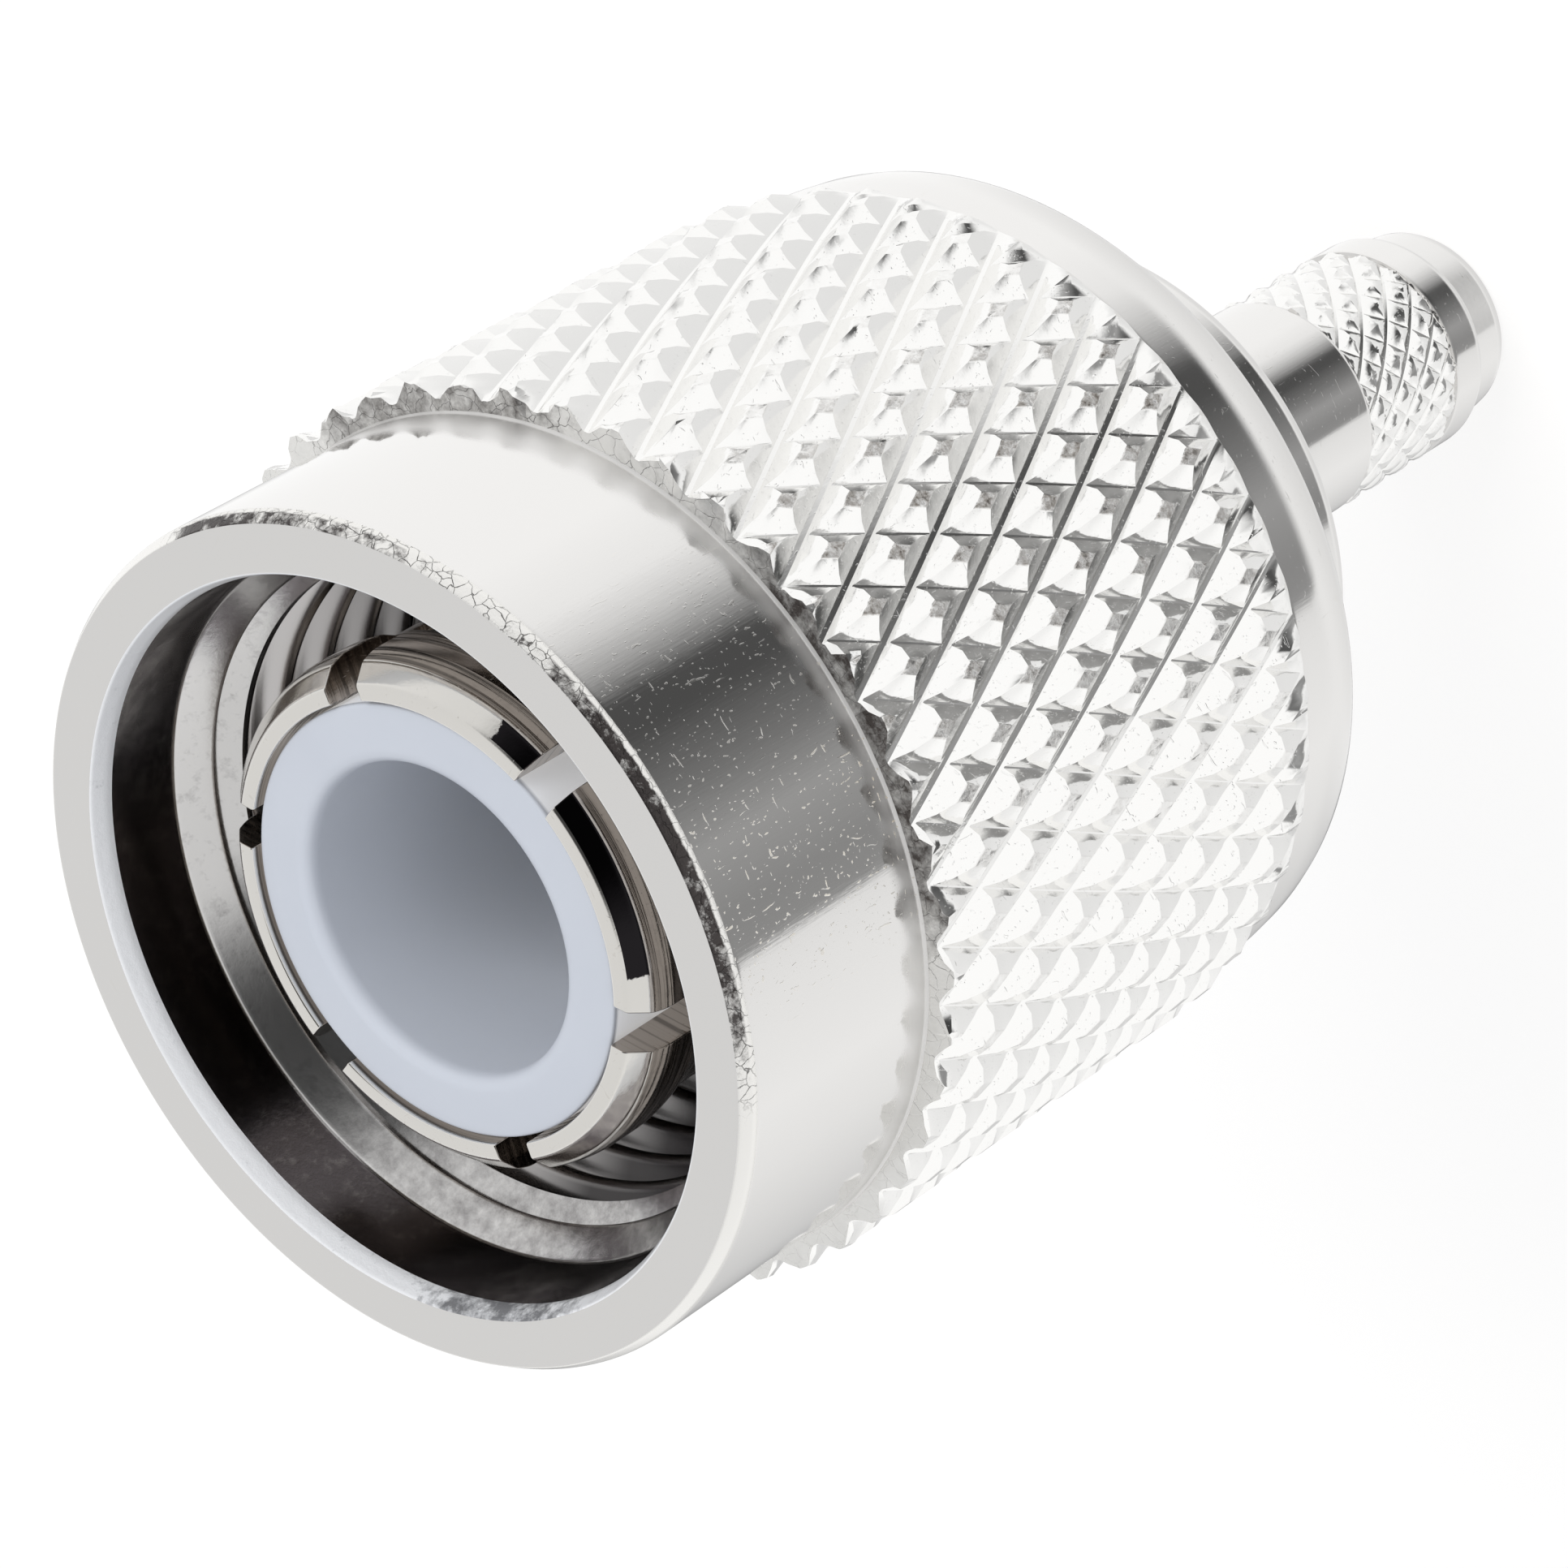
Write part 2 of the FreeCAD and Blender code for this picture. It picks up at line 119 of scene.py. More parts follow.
def vector_calc(tree, operation, *values, scale=None):
    """The output of a vector math node: a vector, or a number where it measures one."""
    inputs = dict(enumerate(values))
    if scale is not None:
        inputs["Scale"] = scale
    outputs = add(tree, "ShaderNodeVectorMath", inputs, operation=operation).outputs
    return outputs["Value"] if operation in ("LENGTH", "DOT_PRODUCT") else outputs["Vector"]


def mapped(tree, value, low, high, start=0.0, end=1.0, **options):
    """A value that runs from start to end while the given one runs from low to high."""
    inputs = {0: value, 1: low, 2: high, 3: start, 4: end}
    return add(tree, "ShaderNodeMapRange", inputs, **options).outputs[0]


def sockets(tree, inputs, outputs):
    """Give a node group its inputs and outputs, listed as a kind of socket and the names of that kind."""
    for in_out, kinds in (("INPUT", inputs), ("OUTPUT", outputs)):
        for kind, names in kinds.items():
            for name in names:
                tree.interface.new_socket(name=name, in_out=in_out, socket_type="NodeSocket" + kind)


print("helpers", add.__name__, calc.__name__, vector_calc.__name__, mapped.__name__, sockets.__name__)


# %% Helpers for values that depend on the place
FLATTEN = (1.0, 1.0, 0.0)


def level_of(tree, place):
    """Height of a place."""
    return add(tree, "ShaderNodeSeparateXYZ", {0: place}).outputs[2]


def radius_of(tree, place):
    """Distance of a place from the axis."""
    return vector_calc(tree, "LENGTH", vector_calc(tree, "MULTIPLY", place, FLATTEN))


def ramp_of(tree, factor, stops):
    """A ramp of greys whose stops are (position from 0 to 1, brightness)."""
    node = add(tree, "ShaderNodeValToRGB", {"Fac": factor})
    ramp = node.color_ramp
    while len(ramp.elements) > 1:
        ramp.elements.remove(ramp.elements[-1])
    ramp.elements[0].position = stops[0][0]
    ramp.elements[0].color = (stops[0][1],) * 3 + (1.0,)
    for position, value in stops[1:]:
        ramp.elements.new(position).color = (value,) * 3 + (1.0,)
    return node.outputs[0]


def round_ramp(tree, place, stops):
    """A value that depends on the angle about the axis: stops are (degrees from -180, value)."""
    parts = add(tree, "ShaderNodeSeparateXYZ", {0: place}).outputs
    angle = mapped(tree, calc(tree, "ARCTAN2", parts[1], parts[0]), -math.pi, math.pi)
    return ramp_of(tree, angle, [((degrees + 180) / 360, value) for degrees, value in stops])


print("place helpers", level_of.__name__, radius_of.__name__, ramp_of.__name__, round_ramp.__name__)

# %% [markdown]
# ## Marks that several finishes share
#
# Bright plating is never empty. Under a glass it has short scratches, specks where the plating lifted,
# and a faint unevenness. These are the same marks on the nut, the stem and the contact, only more or
# fewer of them, so they are one group with named inputs. It gives a mask of the marks and a height for
# a Bump node. A second group makes the cracked crust that plating leaves on a sharp machined edge.

# %% Group for scratches and specks
MIDDLE_GREY = (0.5, 0.5, 0.5)
SCRATCH_LINES = (((0.5, 0.3, 0.6), (16000.0, 1900.0, 16000.0)),
                 ((1.4, 0.9, 1.2), (13000.0, 13000.0, 1500.0)),
                 ((2.3, 1.6, 0.4), (2100.0, 15000.0, 15000.0)))
SCRATCH_BEND = 0.0004
SCRATCH_CUT = (0.73, 0.76)
SPECK_STRETCH = (19000.0, 19000.0, 10000.0)
SPECK_CUT = (0.70, 0.74)
HAIR_TURN = (0.9, 0.4, 0.2)
HAIR_STRETCH = (24000.0, 24000.0, 1800.0)
HAIR_CUT = (0.3, 0.7)
HAIR_HEIGHT = 0.05
WARP_SCALE = 1500.0
CLOUD_SCALE = 420.0
WAVE_SCALE = 1500.0


def marks_group():
    """Scratches, specks and a faint unevenness, as masks and a height."""
    tree = bpy.data.node_groups.new("plating_marks", "ShaderNodeTree")
    sockets(tree, {"Float": ("Scratches", "Specks", "Waves")}, {"Float": ("Mask", "Height", "Cloud")})
    given = add(tree, "NodeGroupInput").outputs
    place = add(tree, "ShaderNodeTexCoord").outputs["Object"]
    warp = add(tree, "ShaderNodeTexNoise", {"Vector": place, "Scale": WARP_SCALE, "Detail": 2.0})
    shift = vector_calc(tree, "SUBTRACT", warp.outputs["Color"], MIDDLE_GREY)
    bent = vector_calc(tree, "ADD", place, vector_calc(tree, "SCALE", shift, scale=SCRATCH_BEND))

    def lines(turn, stretch, cut, vector):
        spun = add(tree, "ShaderNodeMapping", {"Vector": vector, "Rotation": turn, "Scale": stretch})
        noise = add(tree, "ShaderNodeTexNoise", {"Vector": spun.outputs[0], "Scale": 1.0, "Detail": 1.0})
        return mapped(tree, noise.outputs["Fac"], *cut)

    first, second, third = (lines(turn, stretch, SCRATCH_CUT, bent) for turn, stretch in SCRATCH_LINES)
    scratch = calc(tree, "MAXIMUM", calc(tree, "MAXIMUM", first, second), third)
    dots = lines((0.0, 0.0, 0.0), SPECK_STRETCH, SPECK_CUT, place)
    mask = calc(tree, "MAXIMUM", calc(tree, "MULTIPLY", scratch, given["Scratches"]),
                calc(tree, "MULTIPLY", dots, given["Specks"]))

    cloud = add(tree, "ShaderNodeTexNoise", {"Vector": place, "Scale": CLOUD_SCALE, "Detail": 4.0})
    wave = add(tree, "ShaderNodeTexNoise", {"Vector": place, "Scale": WAVE_SCALE, "Detail": 5.0})
    height = calc(tree, "MULTIPLY", wave.outputs["Fac"], given["Waves"])
    hair = lines(HAIR_TURN, HAIR_STRETCH, HAIR_CUT, place)
    height = calc(tree, "ADD", calc(tree, "MULTIPLY_ADD", hair, HAIR_HEIGHT, height), mask)
    add(tree, "NodeGroupOutput", {"Mask": mask, "Height": height, "Cloud": cloud.outputs["Fac"]})
    return tree


marks = marks_group()
print("group", marks.name, "with", len(marks.nodes), "nodes")

# %% Group for the cracked crust
CRUST_BEND = 0.0003
CRUST_WARP_SCALE = 2600.0
MOTTLE_SCALE = 3800.0


def crust_group():
    """Cracked, chipped crust of an edge, as a crack mask, a mottle and a height."""
    tree = bpy.data.node_groups.new("edge_crust", "ShaderNodeTree")
    sockets(tree, {"Float": ("Cell Scale", "Crack Width")}, {"Float": ("Cracks", "Mottle", "Height")})
    given = add(tree, "NodeGroupInput").outputs
    place = add(tree, "ShaderNodeTexCoord").outputs["Object"]
    warp = add(tree, "ShaderNodeTexNoise", {"Vector": place, "Scale": CRUST_WARP_SCALE, "Detail": 3.0})
    shift = vector_calc(tree, "SCALE", warp.outputs["Color"], scale=CRUST_BEND)
    cells = add(tree, "ShaderNodeTexVoronoi",
                {"Vector": vector_calc(tree, "ADD", place, shift), "Scale": given["Cell Scale"]},
                feature="DISTANCE_TO_EDGE")
    cracks = mapped(tree, cells.outputs["Distance"], 0.0, given["Crack Width"], 1.0, 0.0)
    mottle = add(tree, "ShaderNodeTexNoise", {"Vector": place, "Scale": MOTTLE_SCALE, "Detail": 6.0,
                                              "Roughness": 0.7}).outputs["Fac"]
    add(tree, "NodeGroupOutput",
        {"Cracks": cracks, "Mottle": mottle, "Height": calc(tree, "SUBTRACT", mottle, cracks)})
    return tree


crust = crust_group()
print("group", crust.name, "with", len(crust.nodes), "nodes")

# %% [markdown]
# ## Finishes
#
# The nut, the body and the contact are plated metal, so nearly all of their look is reflection: the base
# colour is a pale warm grey, and roughness and bump do the rest. Where a mark crosses the surface, the
# metal is rougher and throws the tent's light towards the eye, which is why scratches show bright on a
# dark reflection and vanish on a white one. Wear isn't the same all round: the values by angle tell how
# much of it there is at each angle about the axis. Some colours also hold painted shade: the thread, the
# counterbore wall and the turned grooves are painted darker, and the shoulder and the contact's bevel get a
# painted dark reflection by angle. The insulator is a milky plastic with a little light travelling inside
# it and a painted glow on its side, and the gasket a dull rubber.


# %% Helpers for the finishes
def new_material(name):
    """A material with an empty tree, and its output node."""
    material = bpy.data.materials.new(name)
    material.use_nodes = True
    material.node_tree.nodes.clear()
    return material, add(material.node_tree, "ShaderNodeOutputMaterial")


def between(tree, factor, low, high):
    """A colour between two, each given as red, green and blue or as another node's output."""
    low, high = (end if isinstance(end, bpy.types.NodeSocket) else (*end, 1.0) for end in (low, high))
    return add(tree, "ShaderNodeMix", {"Factor": factor, 6: low, 7: high}, data_type="RGBA").outputs[2]


def marked_by(tree, scratches, specks, waves):
    """The outputs of the group of marks, with its inputs set."""
    wear = add(tree, "ShaderNodeGroup", node_tree=marks)
    for key, value in (("Scratches", scratches), ("Specks", specks), ("Waves", waves)):
        wear.inputs[key].default_value = value
    return wear.outputs


def end_metal(tree, output, shade, roughness, height, bump, distance, metal=1.0):
    """Finish a metal's tree: its colour, roughness and relief go into the shader."""
    relief = add(tree, "ShaderNodeBump", {"Height": height, "Strength": bump, "Distance": distance})
    shader = add(tree, "ShaderNodeBsdfPrincipled",
                 {"Base Color": shade, "Roughness": roughness, "Metallic": metal,
                  "Normal": relief.outputs[0]})
    tree.links.new(shader.outputs[0], output.inputs[0])


print("finish helpers", new_material.__name__, between.__name__, marked_by.__name__, end_metal.__name__)

# %% Grooves, dull places and painted shade in the depths of plated metal
TURNED_STRETCH = (60.0, 60.0, 9000.0)
TURNED_CUT = (0.40, 0.52)
DULL_RISE = 0.42
# Crests of a thread get less of the painted shade: this band of radius and this share.
CREST_BAND = (0.02, 0.12)
CREST_SHARE = 0.62


def turned_grooves(tree, place):
    """Mask of the fine grooves that the turning tool left."""
    rings = add(tree, "ShaderNodeMapping", {"Vector": place, "Scale": TURNED_STRETCH})
    rings = add(tree, "ShaderNodeTexNoise", {"Vector": rings.outputs[0], "Scale": 1.0, "Detail": 3.0})
    return mapped(tree, rings.outputs["Fac"], *TURNED_CUT, 1.0, 0.0)


def dulled(tree, place, low, high, added, rise):
    """Roughness that is added below a height, and higher up by angle where rise tells."""
    lowered = calc(tree, "MULTIPLY_ADD", round_ramp(tree, place, rise), -DULL_RISE * MM,
                   level_of(tree, place))
    return mapped(tree, lowered, low * MM, high * MM, added, 0.0)


def painted_bore_shade(tree, place, high, low, share, shade, crest_radius):
    """Share of painted shade in a bore: more with depth and by angle, and less on its crests."""
    depth = mapped(tree, level_of(tree, place), high * MM, low * MM, 0.0, share)
    depth = calc(tree, "MAXIMUM", depth, round_ramp(tree, place, shade))
    crest_low, crest_high = ((crest_radius + step) * MM for step in CREST_BAND)
    crest = mapped(tree, radius_of(tree, place), crest_low, crest_high, CREST_SHARE, 1.0)
    return calc(tree, "MULTIPLY", depth, crest)


print("dull places reach up to", DULL_RISE, "mm higher, crests are brighter within", CREST_BAND, "mm")

# %% Plated metal
FINE_RELIEF = 0.00001
CLOUD_ROUGHNESS = (-0.03, 0.04)
# How dark the painted shade in the tool's grooves is, as a share of the colour.
GROOVE_PAINTED_SHADE = 0.35
# Colour of the painted shade deep in a bore.
PAINTED_SHADE_COLOUR = (0.035, 0.032, 0.033)


def plated(name, colour, marked, rough, scratches=0.2, specks=0.2, bump=0.3, waves=0.6, where=None,
           turned=0.0, dull=None, deep=None):
    """Plated metal with scratches and specks. rough gives its roughness, plain and marked.

    where tells by angle how strong the marks are, and turned how strong the tool's grooves and the painted
    shade in them are. dull is (low height, high height, roughness added below them, rise by angle). deep
    paints shade
    in a bore: it is (high height, low height, share of painted shade at the low one, painted shade by
    angle, radius of the crests, which get less of it).
    """
    material, output = new_material(name)
    tree = material.node_tree
    place = add(tree, "ShaderNodeTexCoord").outputs["Object"]
    wear = marked_by(tree, scratches, specks, waves)
    mask, height = wear["Mask"], wear["Height"]
    if where:
        plain = calc(tree, "SUBTRACT", height, mask)
        mask = calc(tree, "MULTIPLY", mask, round_ramp(tree, place, where))
        height = calc(tree, "ADD", plain, mask)
    roughness = calc(tree, "ADD", mapped(tree, mask, 0.0, 1.0, *rough),
                     mapped(tree, wear["Cloud"], 0.0, 1.0, *CLOUD_ROUGHNESS))
    shade = between(tree, mask, colour, marked)
    if turned:
        groove = turned_grooves(tree, place)
        height = calc(tree, "MULTIPLY_ADD", groove, -turned, height)
        # Painted shade in the tool's grooves: the colour is darker in them.
        dark = tuple(GROOVE_PAINTED_SHADE * channel for channel in colour)
        shade = between(tree, calc(tree, "MULTIPLY", groove, turned), shade, dark)
    if dull:
        roughness = calc(tree, "ADD", roughness, dulled(tree, place, *dull))
    # deep paints shade: the colour darkens with depth in the bore and by angle, and less on the crests.
    if deep:
        shade = between(tree, painted_bore_shade(tree, place, *deep), shade, PAINTED_SHADE_COLOUR)
    end_metal(tree, output, shade, roughness, height, bump, FINE_RELIEF)
    return material


print("plated metal adds a roughness of", CLOUD_ROUGHNESS, "in clouds")

# %% Crusted metal
COARSE_RELIEF = 0.00002
NO_CRACKS = (900.0, 0.0001)
EVERYWHERE = ((-180, 1.0), (180, 1.0))
CLEAN_ROUGHNESS = 0.14
STAIN_AND_SHADE_SHARE = 0.6
STAIN_AND_SHADE_MIDDLE = 0.8
EDGE_WANDER = 0.000065
EDGE_FADE = 0.012


def crusted(name, dark, pale, stain_and_shade, soft, where=EVERYWHERE, rough=CLEAN_ROUGHNESS, bump=0.1,
            cells=NO_CRACKS, metal=1.0, bright_edge=None):
    """Edge with cracked plating: where tells by angle how much of it, and stain_and_shade how dark it is.
    That darkness is a real stain on some edges, and painted shade or a painted dark reflection on others.

    cells is (cell scale, crack width), soft how softly the stain or painted shade ends, and bright_edge a
    radius in millimetres beyond which the plating is still there.
    """
    material, output = new_material(name)
    tree = material.node_tree
    place = add(tree, "ShaderNodeTexCoord").outputs["Object"]
    layer = add(tree, "ShaderNodeGroup", node_tree=crust)
    layer.inputs["Cell Scale"].default_value, layer.inputs["Crack Width"].default_value = cells
    cracks, mottle, height = (layer.outputs[key] for key in ("Cracks", "Mottle", "Height"))
    amount = round_ramp(tree, place, where)
    # Share of darkness by angle: a real stain on some edges, and painted shade or a painted dark reflection
    # on others.
    stain_and_shade_share = calc(tree, "MULTIPLY_ADD", round_ramp(tree, place, stain_and_shade), STAIN_AND_SHADE_SHARE, mottle)
    stain_and_shade_share = mapped(tree, stain_and_shade_share, STAIN_AND_SHADE_MIDDLE - soft, STAIN_AND_SHADE_MIDDLE + soft)
    worn_and_shaded = calc(tree, "MULTIPLY", calc(tree, "MAXIMUM", stain_and_shade_share, cracks), amount)
    if bright_edge:
        ragged = calc(tree, "MULTIPLY_ADD", mottle, EDGE_WANDER, radius_of(tree, place))
        inside = mapped(tree, ragged, bright_edge * MM, (bright_edge + EDGE_FADE) * MM, 1.0, 0.0)
        worn_and_shaded = calc(tree, "MULTIPLY", worn_and_shaded, inside)
    roughness = mapped(tree, amount, 0.0, 1.0, CLEAN_ROUGHNESS, rough)
    end_metal(tree, output, between(tree, worn_and_shaded, pale, dark), roughness,
              calc(tree, "MULTIPLY", height, amount), bump, COARSE_RELIEF, metal)
    return material


print("a crust with a bright edge ends within", EDGE_FADE, "mm")

# %% Knurled metal
LAND_FADE = 0.00002
TORN_CUT = (0.36, 0.60)
TORN_HEIGHT = 3.0
RUBBLE_SCALE = 7000.0
KNURL_MARKS = {"scratches": 0.3, "specks": 0.3, "waves": 1.2}
KNURL_BUMP = 0.5


def knurled(name, colour, torn, rough, land_radius, where):
    """Knurled plating: bright walls and rough torn lands, and where tells by angle how torn."""
    material, output = new_material(name)
    tree = material.node_tree
    place = add(tree, "ShaderNodeTexCoord").outputs["Object"]
    land = mapped(tree, radius_of(tree, place), land_radius - LAND_FADE, land_radius)
    land = calc(tree, "MULTIPLY", land, round_ramp(tree, place, where))
    rubble = add(tree, "ShaderNodeTexNoise", {"Vector": place, "Scale": RUBBLE_SCALE, "Detail": 5.0,
                                              "Roughness": 0.7})
    patchy = calc(tree, "MULTIPLY", mapped(tree, rubble.outputs["Fac"], *TORN_CUT), land)
    height = calc(tree, "ADD", calc(tree, "MULTIPLY", patchy, TORN_HEIGHT),
                  marked_by(tree, **KNURL_MARKS)["Height"])
    end_metal(tree, output, between(tree, patchy, colour, torn), mapped(tree, land, 0.0, 1.0, *rough),
              height, KNURL_BUMP, FINE_RELIEF)
    return material


print("a torn land ends within", LAND_FADE / MM, "mm")

# %% Wear, stains and painted shade of the nut and the contact, by angle about the axis
# Each pair is an angle in degrees and how much there is of the wear, the stain, the painted shade or the
# painted dark reflection.
ROOT_RADIUS = 6.92
NOSE_RADIUS = 6.70
STUD_RISE = 0.29
CREST_RADIUS = 5.10
NOSE_WEAR = ((-180, 0.04), (-125, 0.10), (-113, 1.0), (-99, 1.0), (-91, 0.55), (-80, 0.28), (-70, 0.14),
             (-50, 0.0))
NOSE_DULL = ((-180, 0.5), (-124, 0.2), (-114, 0.0), (-68, 0.0), (-56, 0.6), (-40, 1.0), (5, 1.0), (40, 0.5))
RIM_WEAR = ((-180, 0.0), (-134, 0.0), (-126, 0.9), (-118, 1.0), (-10, 1.0), (-4, 0.0))
RIM_STAIN = ((-180, 0.0), (-134, 0.0), (-120, 0.55), (-112, 0.66), (-100, 0.74), (-84, 0.72), (-75, 0.55),
             (-67, 0.30), (-58, 0.08), (-46, 0.38), (-38, 0.50), (-22, 0.56), (-10, 0.85), (-4, 0.0))
MOUTH_WEAR = ((-180, 0.4), (-170, 0.1), (5, 0.1), (25, 0.7), (60, 1.0), (170, 1.0), (180, 0.4))
MOUTH_STAIN = ((-180, 0.3), (0, 0.15), (60, 0.1), (136, 0.12), (148, 0.60), (166, 0.62), (176, 0.35),
               (180, 0.3))
SHOULDER_WEAR = ((-180, 0.10), (-130, 0.15), (-121, 1.0), (-78, 1.0), (-68, 0.6), (-48, 0.4), (-40, 0.9),
                 (-4, 0.8), (4, 0.1))
# Painted dark reflection on the shoulder, by angle.
SHOULDER_PAINTED_REFLECTION = ((-180, 0.2), (-130, 0.2), (-119, 0.66), (-80, 0.70), (-68, 0.25), (-46, 0.1),
                  (-38, 0.55), (-4, 0.60), (4, 0.2))
# Painted dark reflection on the contact's bevel, by angle.
BEVEL_PAINTED_REFLECTION = ((-180, 0.0), (-126, 0.0), (-123, 1.0), (-64, 1.0), (-60, 0.0))
LAND_WEAR = ((-180, 0.10), (-125, 0.15), (-108, 0.35), (-95, 0.8), (-78, 1.0), (-66, 0.55), (-58, 0.15),
             (-45, 0.05), (0, 0.02))
# Painted shade of the thread by angle.
THREAD_PAINTED_SHADE = ((-180, 0.95), (-110, 0.85), (-60, 0.2), (-10, 0.0), (115, 0.0), (138, 0.45), (150, 0.93),
                (180, 0.96))
# Painted shade of the counterbore wall by angle.
WALL_PAINTED_SHADE = ((-180, 0.6), (-60, 0.4), (-10, 0.10), (22, 0.20), (52, 0.9), (146, 1.0), (157, 0.55),
              (168, 0.9), (180, 0.6))
RING_STAIN = ((-180, 0.30), (-100, 0.0), (100, 0.0), (118, 0.30), (150, 0.42), (180, 0.30))
print("wear of the nose at", [degrees for degrees, amount in NOSE_WEAR], "degrees")

# %% Metal finishes of the nut, the body and the contact
NICKEL = (0.84, 0.83, 0.815)
WORN_BROWN = (0.60, 0.57, 0.54)
BARE_BROWN = (0.30, 0.27, 0.24)
nickel = plated("bright_nickel", NICKEL, (0.97, 0.93, 0.85), rough=(0.07, 0.60), scratches=1.0,
                specks=1.0, bump=0.35, where=NOSE_WEAR,
                dull=(FRONT - 3.86, FRONT - 3.50, 0.40, NOSE_DULL))
plain_nickel = plated("plain_nickel", NICKEL, (0.80, 0.78, 0.74), rough=(0.10, 0.30), specks=0.0,
                      bump=0.25, waves=0.5)
knurl_nickel = knurled("knurled_nickel", (0.93, 0.925, 0.91), torn=BARE_BROWN, rough=(0.10, 0.36),
                       land_radius=(ROOT_RADIUS + 0.97 * STUD_RISE) * MM, where=LAND_WEAR)
bore_nickel = plated("bore_nickel", (0.74, 0.73, 0.72), WORN_BROWN, rough=(0.15, 0.35), waves=0.8)
# The thread's colour is painted darker with depth and by angle, as shade in the bore, and less on its
# crests.
thread_nickel = plated("thread_nickel", (0.74, 0.72, 0.71), WORN_BROWN, rough=(0.16, 0.35), scratches=0.0,
                       specks=0.0, bump=0.10, waves=0.4,
                       deep=(FRONT - 2.6, FRONT - 5.8, 0.60, THREAD_PAINTED_SHADE, CREST_RADIUS))
tip_nickel = plated("tip_nickel", (0.86, 0.84, 0.80), (0.60, 0.56, 0.50), rough=(0.06, 0.20), specks=0.1,
                    bump=0.35, waves=1.0)
# The contact's outside has painted shade in its turning grooves.
side_nickel = plated("side_nickel", (0.42, 0.375, 0.335), BARE_BROWN, rough=(0.11, 0.25), waves=0.8,
                     turned=0.8)
# The counterbore wall is painted darker than the plating, and more so by angle: painted shade and painted
# dark reflection inside the recess.
wall_nickel = crusted("wall_nickel", (0.22, 0.20, 0.21), (0.66, 0.64, 0.62), WALL_PAINTED_SHADE, soft=0.25)
# The contact's bevel is painted nearly black over one sector of angles: a painted dark reflection.
bevel_nickel = crusted("bevel_nickel", (0.022, 0.020, 0.022), (0.86, 0.84, 0.80), BEVEL_PAINTED_REFLECTION, soft=0.03,
                       rough=0.10)
ring_nickel = crusted("ring_nickel", (0.22, 0.21, 0.21), (0.74, 0.73, 0.72), RING_STAIN, soft=0.26,
                      rough=0.16)
edge_crust = crusted("plating_crust", (0.060, 0.052, 0.050), (0.89, 0.875, 0.84), RIM_STAIN, soft=0.10,
                     where=RIM_WEAR, rough=0.28, bump=0.8, cells=(5000.0, 0.035), metal=0.7,
                     bright_edge=NOSE_RADIUS)
mouth_crust = crusted("mouth_crust", (0.20, 0.20, 0.205), (0.84, 0.84, 0.84), MOUTH_STAIN, soft=0.12,
                      where=MOUTH_WEAR, rough=0.5, bump=0.9, metal=0.1)
# The shoulder's crust, cracks and roughness are its own; its darkness by angle is a painted dark
# reflection.
shoulder_crust = crusted("rough_shoulder", (0.100, 0.087, 0.080), (0.93, 0.92, 0.89), SHOULDER_PAINTED_REFLECTION,
                         soft=0.20, where=SHOULDER_WEAR, rough=0.40, bump=1.0, cells=(3600.0, 0.02),
                         metal=0.7)
print("metal finishes", [m.name for m in bpy.data.materials])


# %% Finishes of the insulators, the gasket, the pin and the spring ring
BLACK = (0.0, 0.0, 0.0)
SKIN_ROUGHNESS = 0.06
SKIN_BUMP = 0.12
SKIN_SCALE = 9000.0
MILK_SCALE = 700.0
GLOW_REACH = 0.0006
SIDE_FADE = 0.02
SIDE_FALL = 0.06


def plastic(name, colour, shade, rough, glow, side=None):
    """Milky plastic: a faint mottle, a fine machined skin and light scattered below the surface.

    side is (radius, colour, depth), in millimetres: beyond that radius and below that depth the plastic
    gets a painted glow, an emission of that colour that stands for light that went in at the face.
    """
    material, output = new_material(name)
    tree = material.node_tree
    place = add(tree, "ShaderNodeTexCoord").outputs["Object"]
    cloud = add(tree, "ShaderNodeTexNoise", {"Vector": place, "Scale": MILK_SCALE, "Detail": 4.0})
    skin = add(tree, "ShaderNodeTexNoise",
               {"Vector": place, "Scale": SKIN_SCALE, "Detail": 3.0}).outputs["Fac"]
    relief = add(tree, "ShaderNodeBump", {"Height": skin, "Strength": SKIN_BUMP, "Distance": FINE_RELIEF})
    shader = add(tree, "ShaderNodeBsdfPrincipled",
                 {"Base Color": between(tree, cloud.outputs["Fac"], shade, colour),
                  "Roughness": mapped(tree, skin, 0.0, 1.0, rough - SKIN_ROUGHNESS, rough + SKIN_ROUGHNESS),
                  "Normal": relief.outputs[0], "Subsurface Weight": glow, "Subsurface Scale": GLOW_REACH})
    shader.inputs["Subsurface Radius"].default_value = (1.0, 1.0, 1.0)
    if side:
        side_radius, painted_glow_colour, side_depth = side
        beyond = mapped(tree, radius_of(tree, place), (side_radius - SIDE_FADE) * MM, side_radius * MM)
        under = mapped(tree, level_of(tree, place), (FRONT - side_depth) * MM,
                       (FRONT - side_depth - SIDE_FALL) * MM)
        # A painted glow: an emission on the side that stands for light going in at the face.
        painted_glow = between(tree, calc(tree, "MULTIPLY", beyond, under), BLACK, painted_glow_colour)
        tree.links.new(painted_glow, shader.inputs["Emission Color"])
        shader.inputs["Emission Strength"].default_value = 1.0
    tree.links.new(shader.outputs[0], output.inputs[0])
    return material


